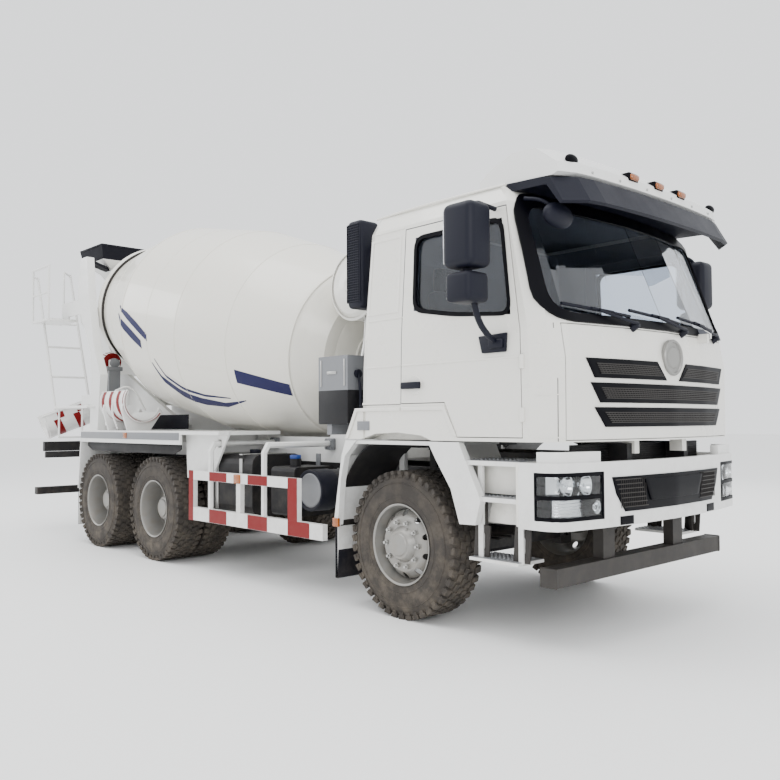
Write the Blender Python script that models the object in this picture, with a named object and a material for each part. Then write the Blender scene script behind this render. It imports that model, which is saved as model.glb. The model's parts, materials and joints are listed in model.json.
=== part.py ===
"""Concrete mixer truck, 6x4, in metres. +X is forward, +Y the driver's left, +Z up.

The pieces are laid out from the front axle: x = 0 at the front wheels' centre, y = 0 in the
middle, z = 0 on the ground. The root empty then puts the middle of the truck at the origin.
"""

import math

import bmesh
import bpy
from mathutils import Matrix, Vector

# ---- driving dimensions -------------------------------------------------------------------
X_FRONT_AXLE = 2.947          # front axle ahead of the middle of the truck
WHEELBASE = 3.75              # front axle to first rear axle
BOGIE = 1.40                  # between the two rear axles
TYRE_R = 0.55
TYRE_W = 0.31
RIM_R = 0.302                 # rim flange
FRONT_WHEEL_Y = 1.00          # middle of a front tyre
REAR_OUT_Y = 1.08             # middle of an outer rear tyre
REAR_IN_Y = 0.74              # middle of an inner rear tyre
KINGPIN_Y = 0.855

RAIL_TOP = 1.08
RAIL_BOTTOM = 0.80
RAIL_OUT = 0.4325             # outer face of a frame rail
RAIL_WALL = 0.016
RAIL_FRONT = 1.25
RAIL_TAIL = 2.50              # frame behind the middle of the rear axles
SUB_TOP = 1.32                # top of the drum's own rails

CAB_HALF = 1.22               # half the cab's width
CAB_FLOOR = 1.33
CAB_WALL = 0.05
CAB_TILT = (1.44, 1.28)       # cab pivot, x and z
DOOR_AXIS_X = 1.210
HINGE_R = 0.018
LID_AXIS = (1.585, 2.092)     # fascia lid's hinge, x and z
LID_Z = (1.345, 2.080)
LID_HALF = 1.08
LID_WALL = 0.028
SCREEN_Z = (2.13, 2.905)      # windscreen opening
SCREEN_MARGIN = (0.08, 0.12)  # from the cab's side to it, at its foot and its top
SCREEN_CORNER = 0.15

DRUM_TILT = math.radians(11.5)
DRUM_FORE = 0.99              # drum's cylinder starts this far ahead of the rear axles' middle
DRUM_Z = 2.50                 # height of its axis there
DRUM_R = 1.15
DRUM_WALL = 0.012
RACE_R = 0.845                # raceway
RACE_S = 2.62                 # raceway behind the start of the cylinder, along the axis
RACE_HALF = 0.06              # half the raceway's width
FLANGE_S = -1.96              # front flange, along the same axis
ROLLER_R = 0.13
ROLLER_ANGLE = math.radians(40)

CHUTE_TAIL = 2.60             # chute's swivel behind the middle of the rear axles
CHUTE_HEADING = math.radians(-102)
CHUTE_SLOPE = math.radians(21)
CHUTE_R = 0.23
CHUTE_LENGTH = 1.22
CHUTE_TOP = 1.90              # height of the chute's hinge
CHUTE_LIP = 0.10              # trough wall above its half round

FENDER_TOP = 1.38
DRAWN_REAR = -4.45            # rear pieces are drawn for rear axles here, and move with them

GAP = 0.0003                  # between pieces that touch
CLEAR = 0.006                 # between pieces that move
DRUM_STEPS = 32
WHEEL_STEPS = 24

AXLE_2 = -WHEELBASE
AXLE_3 = -WHEELBASE - BOGIE
REAR = (AXLE_2 + AXLE_3) / 2  # middle of the rear axles
BODY = REAR - DRAWN_REAR
RAIL_REAR = REAR - RAIL_TAIL
DRUM_AT = (REAR + DRUM_FORE, DRUM_Z)
CHUTE_SWIVEL = (REAR - CHUTE_TAIL, 0.0)
DOOR_AXIS = (DOOR_AXIS_X, CAB_HALF + 0.002)
SIDES = (("left", 1), ("right", -1))

for old in list(bpy.data.objects):
    bpy.data.objects.remove(old, do_unlink=True)


# ---- materials ----------------------------------------------------------------------------
def material(name, rgb, roughness, metallic=0.0):
    mat = bpy.data.materials.new(name)
    mat.use_nodes = True
    shader = mat.node_tree.nodes["Principled BSDF"]
    shader.inputs["Base Color"].default_value = (*rgb, 1.0)
    shader.inputs["Roughness"].default_value = roughness
    shader.inputs["Metallic"].default_value = metallic
    mat.diffuse_color = (*rgb, 1.0)
    return mat


CREAM = material("cream_paint", (0.80, 0.79, 0.74), 0.3)
WHITE = material("white_paint", (0.82, 0.82, 0.81), 0.35)
BLACK = material("black_paint", (0.03, 0.03, 0.035), 0.45)
GREY = material("grey_paint", (0.35, 0.37, 0.40), 0.45)
DARK_STEEL = material("dark_steel", (0.09, 0.085, 0.08), 0.5, 0.4)
PLASTIC = material("black_plastic", (0.03, 0.035, 0.05), 0.5)
TYRE = material("tyre_rubber", (0.05, 0.045, 0.04), 0.85)
GLASS = material("window_glass", (0.05, 0.06, 0.065), 0.05)
LAMP = material("lamp_glass", (0.6, 0.62, 0.65), 0.1)
CLOTH = material("seat_cloth", (0.10, 0.10, 0.11), 0.9)


# ---- shapes: each returns a closed bmesh ----------------------------------------------------
def finished(bm):
    """Outward normals, and triangles where a face isn't flat."""
    bent = []
    for face in bm.faces:
        face.normal_update()
        at = face.verts[0].co
        if len(face.verts) > 3 and any(
                abs((v.co - at).dot(face.normal)) > 1e-6 for v in face.verts):
            bent.append(face)
    if bent:
        bmesh.ops.triangulate(bm, faces=bent)
    bmesh.ops.recalc_face_normals(bm, faces=bm.faces)
    return bm


def loft(rings):
    """Skin over rings of equally many points, closed by a face at each end."""
    bm = bmesh.new()
    rows = [[bm.verts.new(point) for point in ring] for ring in rings]
    count = len(rows[0])
    for low, high in zip(rows, rows[1:]):
        for i in range(count):
            j = (i + 1) % count
            bm.faces.new((low[i], low[j], high[j], high[i]))
    bm.faces.new(rows[0])
    bm.faces.new(rows[-1])
    return finished(bm)


def prism(axis, span, outline):
    """Outline in the two other axes, pushed along axis from span[0] to span[1]."""
    place = {
        "x": lambda a, p: (a, p[0], p[1]),
        "y": lambda a, p: (p[0], a, p[1]),
        "z": lambda a, p: (p[0], p[1], a),
    }[axis]
    return loft([[place(a, p) for p in outline] for a in span])


def block(x, y, z):
    return prism("z", z, [(x[0], y[0]), (x[1], y[0]), (x[1], y[1]), (x[0], y[1])])


def rounded(outline, radius, steps=3):
    """Outline with each corner turned into an arc."""
    out = []
    for i, corner in enumerate(outline):
        at = Vector(corner)
        a = (Vector(outline[i - 1]) - at).normalized()
        b = (Vector(outline[(i + 1) % len(outline)]) - at).normalized()
        half = a.angle(b) / 2
        centre = at + (a + b).normalized() * (radius / math.sin(half))
        start = at + a * (radius / math.tan(half)) - centre
        end = at + b * (radius / math.tan(half)) - centre
        swing = math.copysign(math.pi - 2 * half, start.cross(end))
        for k in range(steps + 1):
            out.append(tuple(centre + Matrix.Rotation(swing * k / steps, 2) @ start))
    return out


def turned(profile, at=(0, 0, 0), towards=(0, 1, 0), steps=WHEEL_STEPS):
    """Profile of (distance along the axis, radius); points of radius 0 lie on the axis."""
    bm = bmesh.new()
    turn = Vector((0, 0, 1)).rotation_difference(Vector(towards).normalized()).to_matrix()
    rows = []
    for s, r in profile:
        if r == 0:
            rows.append([bm.verts.new(turn @ Vector((0, 0, s)) + Vector(at))])
            continue
        row = []
        for k in range(steps):
            a = 2 * math.pi * k / steps
            row.append(bm.verts.new(
                turn @ Vector((r * math.cos(a), r * math.sin(a), s)) + Vector(at)))
        rows.append(row)
    pairs = list(zip(rows, rows[1:]))
    if len(rows[0]) > 1:
        pairs.append((rows[-1], rows[0]))
    for low, high in pairs:
        for k in range(steps):
            j = (k + 1) % steps
            if len(low) == 1:
                bm.faces.new((low[0], high[j], high[k]))
            elif len(high) == 1:
                bm.faces.new((low[k], low[j], high[0]))
            else:
                bm.faces.new((low[k], low[j], high[j], high[k]))
    return finished(bm)


def rod(start, end, r, steps=16):
    start, end = Vector(start), Vector(end)
    run = end - start
    return turned([(0, 0), (0, r), (run.length, r), (run.length, 0)], start, run, steps)


def tube(path, r, steps=6):
    """Round bar along a path, mitred at its corners."""
    points = [Vector(p) for p in path]
    runs = [(b - a).normalized() for a, b in zip(points, points[1:])]
    side = runs[0].orthogonal().normalized()
    rings = []
    for i, point in enumerate(points):
        before, after = runs[max(i - 1, 0)], runs[min(i, len(runs) - 1)]
        normal = (before + after).normalized()
        side = (side - before * side.dot(before)).normalized()
        other = before.cross(side)
        ring = []
        for k in range(steps):
            a = 2 * math.pi * k / steps
            offset = r * (math.cos(a) * side + math.sin(a) * other)
            slip = offset.dot(normal) / before.dot(normal)
            ring.append(point + offset - before * slip)
        rings.append(ring)
    return loft(rings)


def moved(bm, matrix):
    bm.transform(matrix)
    return bm


def sided(bm, sign):
    """Shapes are drawn on the left; sign -1 puts them on the right."""
    if sign < 0:
        bm.transform(Matrix.Scale(-1, 4, (0, 1, 0)))
        bmesh.ops.reverse_faces(bm, faces=bm.faces)
    return bm


def both(shape, *args):
    """The same shape on both sides."""
    return [sided(shape(*args), sign) for side, sign in SIDES]


# ---- objects --------------------------------------------------------------------------------
ROOT = bpy.data.objects.new("truck", None)
bpy.context.scene.collection.objects.link(ROOT)
ROOT.location = (X_FRONT_AXLE, 0, 0)


def pivot(name, at, parent=None):
    """Empty on a joint's axis."""
    empty = bpy.data.objects.new(name, None)
    bpy.context.scene.collection.objects.link(empty)
    empty.parent = parent or ROOT
    base = parent["at"] if parent else (0, 0, 0)
    empty["at"] = at
    empty.location = Vector(at) - Vector(base)
    return empty


def to_object(name, bm, parent):
    mesh = bpy.data.meshes.new(name)
    at = Vector(parent["at"]) if parent else Vector((0, 0, 0))
    bm.transform(Matrix.Translation(-at))
    bm.to_mesh(mesh)
    bm.free()
    obj = bpy.data.objects.new(name, mesh)
    bpy.context.scene.collection.objects.link(obj)
    obj.parent = parent or ROOT
    return obj


def helper_object(name, bm, parent):
    helper = to_object(name, bm, parent)
    helper.hide_render = True
    helper.display_type = "WIRE"
    return helper


def boolean(obj, operation, other):
    modifier = obj.modifiers.new(operation.lower(), "BOOLEAN")
    modifier.operation = operation
    modifier.solver = "EXACT"
    modifier.object = other


def piece(name, mat, adds, cuts=(), keep=(), late=(), parent=None, slide=0.0):
    """One solid: the union of adds, inside every keep, less cuts, and then late joined on.

    A tool given as a pair is the first shape less the second. All slide along X together.
    """
    for bm in [*adds, *keep, *cuts, *late]:
        for shape in bm if isinstance(bm, tuple) else (bm,):
            shape.transform(Matrix.Translation((slide, 0, 0)))
    obj = to_object(name, adds[0], parent)
    obj.data.materials.append(mat)
    steps = [("UNION", bm) for bm in adds[1:]]
    steps += [("INTERSECT", bm) for bm in keep]
    steps += [("DIFFERENCE", bm) for bm in cuts]
    steps += [("UNION", bm) for bm in late]
    for number, (operation, bm) in enumerate(steps):
        less = None
        if isinstance(bm, tuple):
            bm, less = bm
        helper = helper_object(f"{name}.tool{number}", bm, parent)
        boolean(obj, operation, helper)
        if less is not None:
            boolean(helper, "DIFFERENCE", helper_object(f"{name}.less{number}", less, parent))
    obj.data.shade_smooth()
    obj.data.set_sharp_from_angle(angle=math.radians(30))
    return obj


# ---- frame, axles and engine ------------------------------------------------------------------
def build_frame():
    web, out, wall = RAIL_OUT - RAIL_WALL, RAIL_OUT, RAIL_WALL
    flange = out - 0.075
    rail = [(out, RAIL_BOTTOM), (out, RAIL_TOP), (flange, RAIL_TOP), (flange, RAIL_TOP - wall),
            (web, RAIL_TOP - wall), (web, RAIL_BOTTOM + wall), (flange, RAIL_BOTTOM + wall),
            (flange, RAIL_BOTTOM)]
    adds = both(prism, "x", (RAIL_REAR, RAIL_FRONT), rail)
    for x in (1.16, -1.50, -2.35, REAR + 1.10, REAR, REAR - 1.30, RAIL_REAR + 0.10):
        adds.append(block((x - 0.04, x + 0.04), (-out + 0.008, out - 0.008),
                          (RAIL_BOTTOM + 0.07, RAIL_TOP - 0.07)))
    tilt_x, tilt_z = CAB_TILT
    adds += both(block, (1.10, tilt_x + 0.03), (0.36 + GAP, 0.42), (1.00, tilt_z + 0.03))
    adds += both(block, (-0.40, -0.32), (0.36, 0.42), (1.05, 1.30))
    adds.append(block((-0.42, -0.30), (-0.62, 0.62), (1.25, CAB_FLOOR - GAP)))
    piece("chassis_frame", BLACK, adds)


KNUCKLE_EYE = (0.43, 0.53)    # bottom and top of the axle's eye round the kingpin
EYE_R = 0.05


def build_front_axle():
    low, high = KNUCKLE_EYE
    leaf = [(-0.86, 0.70), (-0.45, 0.615), (0, 0.59), (0.45, 0.615), (0.86, 0.70),
            (0.86, 0.74), (0.45, 0.665), (0, 0.65), (-0.45, 0.665), (-0.86, 0.74)]
    beam_end = KINGPIN_Y - 0.085
    adds = [block((-0.06, 0.06), (-beam_end, beam_end), (low - 0.01, high)),
            *both(block, (-0.03, 0.03), (beam_end - 0.01, KINGPIN_Y - 0.02), (low, high)),
            *both(rod, (0, KINGPIN_Y, low), (0, KINGPIN_Y, high), EYE_R, 20),
            *both(prism, "y", (0.362, RAIL_OUT), leaf),
            *both(block, (-0.08, 0.08), (0.355, 0.44), (0.50, 0.62))]
    for x in (-0.83, 0.83):
        adds += both(block, (x - 0.05, x + 0.05), (0.36, 0.43), (0.71, RAIL_BOTTOM - GAP))
    piece("front_axle", BLACK, adds)


def build_bogie():
    hub_face = REAR_IN_Y + 0.13 - GAP
    adds = []
    for x in (AXLE_2, AXLE_3):
        adds.append(rod((x, -hub_face, TYRE_R), (x, hub_face, TYRE_R), 0.085))
        adds.append(turned([(-0.24, 0), (-0.22, 0.12), (-0.10, 0.23), (0.10, 0.23),
                            (0.22, 0.12), (0.24, 0)], (x, 0, TYRE_R), (0, 1, 0), 16))
    leaf = [(AXLE_3 - 0.10, 0.60), (AXLE_3 + 0.35, 0.68), (REAR - 0.12, 0.70),
            (REAR + 0.12, 0.70), (AXLE_2 - 0.35, 0.68), (AXLE_2 + 0.10, 0.60),
            (AXLE_2 + 0.10, 0.65), (AXLE_2 - 0.35, 0.76), (REAR + 0.12, RAIL_BOTTOM - GAP),
            (REAR - 0.12, RAIL_BOTTOM - GAP), (AXLE_3 + 0.35, 0.76), (AXLE_3 - 0.10, 0.65)]
    adds += both(prism, "y", (0.36, 0.46), leaf)
    piece("rear_bogie", BLACK, adds)


def build_engine():
    mount = RAIL_OUT - RAIL_WALL - GAP
    piece("engine_block", DARK_STEEL, [
        block((-0.45, 1.10), (-0.34, 0.34), (0.72, 1.22)),
        block((-1.40, -0.40), (-0.22, 0.22), (0.66, 1.03)),
        block((-0.30, 0.30), (-mount, mount), (0.92, 0.98)),
    ])


def tyre_side(y, out):
    """Tyre outline from its bead to its tread, on the face that looks towards out."""
    half = TYRE_W / 2
    return [(y + out * (half - 0.012), RIM_R), (y + out * half, RIM_R + 0.118),
            (y + out * (half - 0.018), TYRE_R - 0.03), (y + out * (half - 0.04), TYRE_R)]


def build_front_corner(side, sign):
    """Knuckle and front wheel, turning together about the kingpin."""
    y, rim = FRONT_WHEEL_Y, TYRE_W / 2 - 0.016
    low, high = KNUCKLE_EYE
    profile = [(y + 0.155, 0), (y + 0.155, 0.10), (y + 0.115, 0.135), (y + 0.105, 0.21),
               (y + 0.085, 0.25), (y + rim, RIM_R - 0.022), *tyre_side(y, 1),
               *reversed(tyre_side(y, -1)), (y - rim, RIM_R - 0.022), (y + 0.04, 0.25),
               (y + 0.05, 0.12), (y + 0.02, 0.10), (y + 0.02, 0)]
    steer = pivot(f"steer_{side}", (0, sign * KINGPIN_Y, TYRE_R))
    lug = (KINGPIN_Y - 0.055, KINGPIN_Y + 0.075)
    plate = (KINGPIN_Y + EYE_R + 0.007, KINGPIN_Y + 0.095)
    piece(f"knuckle_{side}", DARK_STEEL, [sided(bm, sign) for bm in (
        block((-0.05, 0.05), lug, (high + GAP, high + 0.07)),
        block((-0.05, 0.05), lug, (low - 0.07, low - GAP)),
        block((-0.05, 0.05), plate, (low - 0.07, high + 0.07)),
        rod((0, plate[1] - 0.02, TYRE_R), (0, y + 0.02 - GAP, TYRE_R), 0.06),
    )], parent=steer)
    hub = pivot(f"front_hub_{side}", (0, sign * y, TYRE_R), steer)
    piece(f"front_wheel_{side}", TYRE, [sided(turned(profile, (0, 0, TYRE_R)), sign)],
          parent=hub)


def build_rear_wheel(name, x, side, sign):
    """Two tyres on one hub, the outer rim deeply dished."""
    y_out, y_in, rim = REAR_OUT_Y, REAR_IN_Y, TYRE_W / 2 - 0.016
    hub = y_in + 0.13
    profile = [(y_out + 0.05, 0), (y_out + 0.05, 0.115), (y_out - 0.09, 0.14),
               (y_out - 0.11, 0.235), (y_out + rim, RIM_R - 0.027), *tyre_side(y_out, 1),
               *reversed(tyre_side(y_out, -1)), *tyre_side(y_in, 1),
               *reversed(tyre_side(y_in, -1)), (y_in - rim, RIM_R - 0.027),
               (hub, 0.235), (hub, 0)]
    at = pivot(f"hub_{name}_{side}", (x, sign * y_out, TYRE_R))
    piece(f"rear_wheel_{name}_{side}", TYRE, [sided(turned(profile, (x, 0, TYRE_R)), sign)],
          parent=at)


# ---- bumper, lamps, steps, arches -----------------------------------------------------------
BUMPER_Z = (0.78, 1.20)
LAMP_Y = (0.81, 1.235)
LAMP_Z = (0.84, 1.14)


def bumper_plan(inset):
    """Bumper's outline from above, from one rear corner round the front to the other."""
    half = [(1.17, 0), (1.38, 0), (1.44, 0.03), (1.48, 0.10), (1.535, 0.42), (1.575, 0.82)]
    half = [(x, CAB_HALF - back) for x, back in half]
    whole = half + [(1.59, 0)] + [(x, -y) for x, y in reversed(half)]
    return [(x - (inset if x > 1.2 else -0.001), y * (1 - inset / CAB_HALF)) for x, y in whole]


def bumper_core(inset, half):
    """Fills the bumper's inside, to within inset of its face."""
    plan = [(1.0, half)] + bumper_plan(inset)[1:-1] + [(1.0, -half)]
    return prism("z", (BUMPER_Z[0] - 0.1, BUMPER_Z[1] + 0.1), plan)


def lamp_box(grow):
    return block((1.15, 1.60), (LAMP_Y[0] - grow, LAMP_Y[1]), (LAMP_Z[0] - grow, LAMP_Z[1] + grow))


def build_bumper():
    arms = both(block, (RAIL_FRONT + GAP, 1.56), (0.37, 0.43), (0.84, 0.98))
    piece("front_bumper", WHITE, [prism("z", BUMPER_Z, bumper_plan(0))],
          [bumper_core(0.05, CAB_HALF - 0.06), *both(lamp_box, GAP)], late=arms)
    for side, sign in SIDES:
        piece(f"headlamp_{side}", LAMP, [prism("z", (0.80, 1.18), bumper_plan(0))],
              [bumper_core(0.10, CAB_HALF - 0.12)], [sided(lamp_box(0), sign)])


def build_underrun():
    piece("underrun_beam", DARK_STEEL, [
        block((1.25, 1.37), (-1.09, 1.09), (0.41, 0.53)),
        *both(block, (1.27, 1.35), (0.40, 0.54), (0.50, 0.78)),
        *both(block, (0.95, 1.35), (0.37, 0.43), (0.72, RAIL_BOTTOM - GAP))])


def build_front_arches():
    """Lower legs of the front wheel arches, with the liner, the steps and the mudflap."""
    front_leg = [(0.66, 0.766), (0.80, 0.77), (0.851, 0.94), (0.655, 1.322), (0.36, 1.322),
                 (0.442, 1.194), (0.58, 1.00)]
    rear_leg = [(-0.70, 0.645), (-0.648, 0.645), (-0.61, 1.00), (-0.56, 1.194),
                (-0.42, 1.322), (-0.55, 1.322), (-0.60, 1.194)]
    liner = [(-0.72, 0.22), (-0.70, 0.22), (-0.69, 0.66), (-0.60, 1.20), (-0.50, 1.31),
             (-0.54, 1.32), (-0.62, 1.21), (-0.71, 0.66)]
    splash = [(0.48, 1.32), (0.44, 1.30), (0.50, 1.18), (0.70, 0.77), (0.72, 0.78)]
    side_y, frame_y = CAB_HALF - 0.055, RAIL_OUT + GAP
    for side, sign in SIDES:
        adds = [
            block((-0.56, 0.52), (0.62, 1.20), (1.295, 1.322)),
            prism("y", (side_y, CAB_HALF), front_leg),
            prism("y", (side_y, CAB_HALF), rear_leg),
            prism("y", (0.62, 1.18), liner),
            prism("y", (0.62, 1.18), splash),
            block((0.66, 1.16), (0.72, 1.20), (1.17, 1.20)),
            block((0.70, 1.16), (0.86, 1.20), (0.93, 0.96)),
            block((0.72, 1.14), (0.92, 1.19), (0.53, 0.55)),
            prism("y", (0.72, 0.76), [(0.68, 0.90), (1.16, 0.90), (1.16, 1.20), (0.66, 1.20)]),
            block((0.77, 0.81), (1.13, 1.15), (0.54, 1.19)),
            block((1.11, 1.15), (1.13, 1.15), (0.54, 1.19)),
            block((0.76, 0.82), (frame_y, 0.80), (0.95, 1.00)),
            block((-0.52, -0.46), (frame_y, 0.66), (1.02, 1.05)),
            block((-0.52, -0.46), (0.62, 0.66), (1.02, 1.31)),
            block((0.74, 0.80), (0.76, 1.00), (0.90, 0.955)),
        ]
        piece(f"front_arch_{side}", WHITE, [sided(bm, sign) for bm in adds])


# ---- cab --------------------------------------------------------------------------------------
def cab_ring(z, rear, side, centre, half, corner, inset):
    """Cab outline at one height: side and centre are the front's x at its side and its middle."""
    rear, half = rear + inset, half - inset
    side, centre = side - inset, centre - inset
    run = [(rear, half - 0.10), (rear + 0.03, half - 0.03), (rear + 0.10, half),
           (side - corner, half), (side - 0.45 * corner, half - 0.06),
           (side - 0.14 * corner, half - 0.17), (side, 0.88 * half - 0.18),
           (centre - 0.35 * (centre - side), 0.42 * half)]
    return ([(x, y, z) for x, y in run] + [(centre, 0, z)]
            + [(x, -y, z) for x, y in reversed(run)])


def cab_body(inset, floor=CAB_FLOOR):
    """Cab's outside moved in by inset, from its floor to its roof."""
    half = CAB_HALF
    drop = max(inset, 0)
    return loft([
        cab_ring(floor, -0.405, 1.50, 1.59, half, 0.24, inset),
        cab_ring(1.87, -0.390, 1.50, 1.59, half, 0.23, inset),
        cab_ring(2.10, -0.375, 1.46, 1.55, half, 0.21, inset),
        cab_ring(2.92, -0.325, 1.14, 1.22, half - 0.04, 0.08, inset),
        cab_ring(3.06 - drop * 0.4, -0.30, 1.05, 1.11, half - 0.11, 0.10, inset),
        cab_ring(3.115 - drop, -0.20, 0.92, 0.98, half - 0.24, 0.12, inset),
    ])


DOOR_GAP = 0.006
DOOR_OUTLINE = [(1.203, 1.36), (1.193, 2.06), (1.060, 2.885), (0.120, 2.885), (0.092, 1.60),
                (0.529, 1.60), (0.645, 1.36)]
DOOR_HOLE = [(1.210, 1.354), (1.200, 2.06), (1.066, 2.892), (0.113, 2.892), (0.085, 1.594),
             (0.525, 1.594), (0.641, 1.354)]
WINDOW = [(0.22, 2.27), (0.62, 2.20), (1.120, 2.156), (1.030, 2.81), (0.22, 2.81)]
EAR_Y = (0.50, 0.53)          # lid's hinge ear


def hinge_barrels(sign, r, grow):
    x, y = DOOR_AXIS
    return [sided(rod((x, y, z - grow), (x, y, z + 0.09 + grow), r, 24), sign)
            for z in (1.46, 1.80)]


def shrunk(outline, by):
    cx = sum(p[0] for p in outline) / len(outline)
    cz = sum(p[1] for p in outline) / len(outline)
    return [(x + by * (1 if x < cx else -1), z + by * (1 if z < cz else -1))
            for x, z in outline]


def screen_hole(inset):
    """Windscreen's opening, pushed through the front of the cab."""
    low, high = (CAB_HALF - margin - inset for margin in SCREEN_MARGIN)
    bottom, top = SCREEN_Z[0] + inset, SCREEN_Z[1] - inset
    outline = [(-low, bottom), (low, bottom), (high, top), (-high, top)]
    return prism("x", (0.9, 1.8), rounded(outline, SCREEN_CORNER, 4))


def build_cab():
    cab = pivot("cab_tilt", (CAB_TILT[0], 0, CAB_TILT[1]))
    inner, outer = CAB_HALF - 0.17, CAB_HALF + 0.18
    arch = [(-0.48, 1.30), (0.48, 1.30), (0.30, 1.365), (0.05, 1.386), (-0.20, 1.375)]
    flare = [(-0.543, 1.332), (-0.425, 1.57), (-0.34, 1.57), (-0.34, 1.332)]
    ear = [(1.50, 2.10), (1.525, 2.075), (1.605, 2.075), (1.605, 2.11), (1.56, 2.14),
           (1.50, 2.16)]
    adds = [cab_body(0), *both(prism, "y", (CAB_HALF - 0.10, CAB_HALF - 0.0015), flare),
            *both(block, (CAB_TILT[0] - 0.05, CAB_TILT[0] + 0.05), (0.30, 0.36), (1.24, 1.36))]
    cuts = [cab_body(CAB_WALL, CAB_FLOOR + 0.06), screen_hole(0),
            *both(prism, "y", (inner, outer), DOOR_HOLE),
            *both(prism, "y", (inner + 0.05, outer), arch)]
    for side, sign in SIDES:
        cuts += hinge_barrels(sign, HINGE_R + GAP, GAP)
    lid_space = block((1.30, 1.70), (-LID_HALF - CLEAR, LID_HALF + CLEAR),
                      (LID_Z[0] - CLEAR, LID_Z[1] + CLEAR))
    cuts.append((lid_space, cab_body(LID_WALL + CLEAR)))
    cuts.append(block((1.49, 1.70), (EAR_Y[0] - CLEAR, EAR_Y[1] + GAP), (2.05, 2.125)))
    piece("cab_shell", CREAM, adds, cuts,
          late=[prism("y", (EAR_Y[1] + GAP, EAR_Y[1] + 0.03), ear)], parent=cab)
    return cab


def bowed(outline, half, bow, curl):
    """Outline in x and z drawn across the cab, bowed back, its last tenth curling further."""
    rings = []
    for k in range(-8, 9):
        t = k / 8
        slip = -bow * t * t - curl * (max(0, abs(t) - 0.8) / 0.2) ** 2
        rings.append([(x + slip, half * t, z) for x, z in outline])
    return loft(rings)


def steering_wheel():
    at, lean = Vector((0.80, 0.52, 2.05)), Vector((-0.75, 0, 0.66)).normalized()
    across, along_rim = Vector((0, 0.22, 0)), lean.cross(Vector((0, 1, 0))) * 0.22
    rim = [(0.016 * math.sin(a), 0.225 + 0.016 * math.cos(a))
           for a in (math.pi * k / 3 for k in range(6))]
    return [rod(at - 0.45 * lean, at + 0.02 * lean, 0.035, 12), turned(rim, at, lean, 24),
            rod(at - across, at + across, 0.013, 6),
            rod(at - along_rim, at + along_rim, 0.013, 6)]


def build_cab_trim(cab):
    piece("windscreen", GLASS, [cab_body(0.006)], [cab_body(0.014)], [screen_hole(GAP)],
          parent=cab)
    header = [(0.86, 3.06), (0.86, 3.125), (0.98, 3.20), (1.16, 3.265), (1.34, 3.25),
              (1.50, 3.13), (1.515, 3.06), (1.47, 3.045 + GAP), (1.02, 3.065 + GAP)]
    piece("roof_header", WHITE, [bowed(header, CAB_HALF - 0.14, 0.06, 0.05)],
          [cab_body(-GAP)], parent=cab)
    visor = [(1.02, 3.065), (1.47, 3.045), (1.53, 3.03), (1.625, 2.86), (1.605, 2.845),
             (1.50, 2.99), (1.20, 3.00), (1.02, 3.01)]
    piece("sun_visor", PLASTIC, [bowed(visor, CAB_HALF - 0.13, 0.06, 0.12)],
          [cab_body(-GAP), bowed(header, CAB_HALF - 0.10, 0.06, 0.05)], parent=cab)

    dash = [(1.00, 1.76), (1.03, 2.02), (1.20, 2.09), (1.60, 2.10), (1.60, 1.50), (1.25, 1.50)]
    piece("dashboard", PLASTIC, [prism("y", (0.08 - CAB_HALF, CAB_HALF - 0.08), dash),
                                 *steering_wheel()],
          keep=[cab_body(CAB_WALL + GAP)], parent=cab)
    floor = CAB_FLOOR + 0.06 + GAP
    seat = [(0.02, floor), (0.50, floor), (0.54, 1.70), (0.62, 1.76), (0.60, 1.86),
            (0.14, 1.84), (0.00, 2.50), (-0.06, 2.68), (-0.14, 2.66), (-0.12, 2.48),
            (0.00, 1.80)]
    for side, sign in SIDES:
        piece(f"seat_{side}", CLOTH, [sided(prism("y", (0.28, 0.78), seat), sign)], parent=cab)
    shelf = [(-0.40, 1.40), (-0.18, 1.40), (-0.18, 1.78), (-0.40, 1.78)]
    piece("bunk", CLOTH, [prism("y", (0.12 - CAB_HALF, CAB_HALF - 0.12), shelf)],
          keep=[cab_body(CAB_WALL + GAP, floor)], parent=cab)
    lid = pivot("lid_hinge", (LID_AXIS[0], 0, LID_AXIS[1]), cab)
    ear = block((1.52, 1.60), EAR_Y, (2.04, 2.108))
    piece("fascia_lid", CREAM, [cab_body(0)], [cab_body(LID_WALL)],
          [block((1.30, 1.70), (-LID_HALF, LID_HALF), LID_Z)], [ear], parent=lid)
    piece("intake_snorkel", PLASTIC, [
        block((-0.62, -0.44), (-1.15, -0.93), (2.37, 3.09)),
        block((-0.56, -0.46), (-1.00, -0.90), (1.45, 2.40)),
        block((-0.50, -0.28), (-1.00, -0.95), (2.50, 2.56)),
        block((-0.50, -0.28), (-1.00, -0.95), (2.84, 2.90)),
    ], [cab_body(-GAP)], parent=cab)


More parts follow.
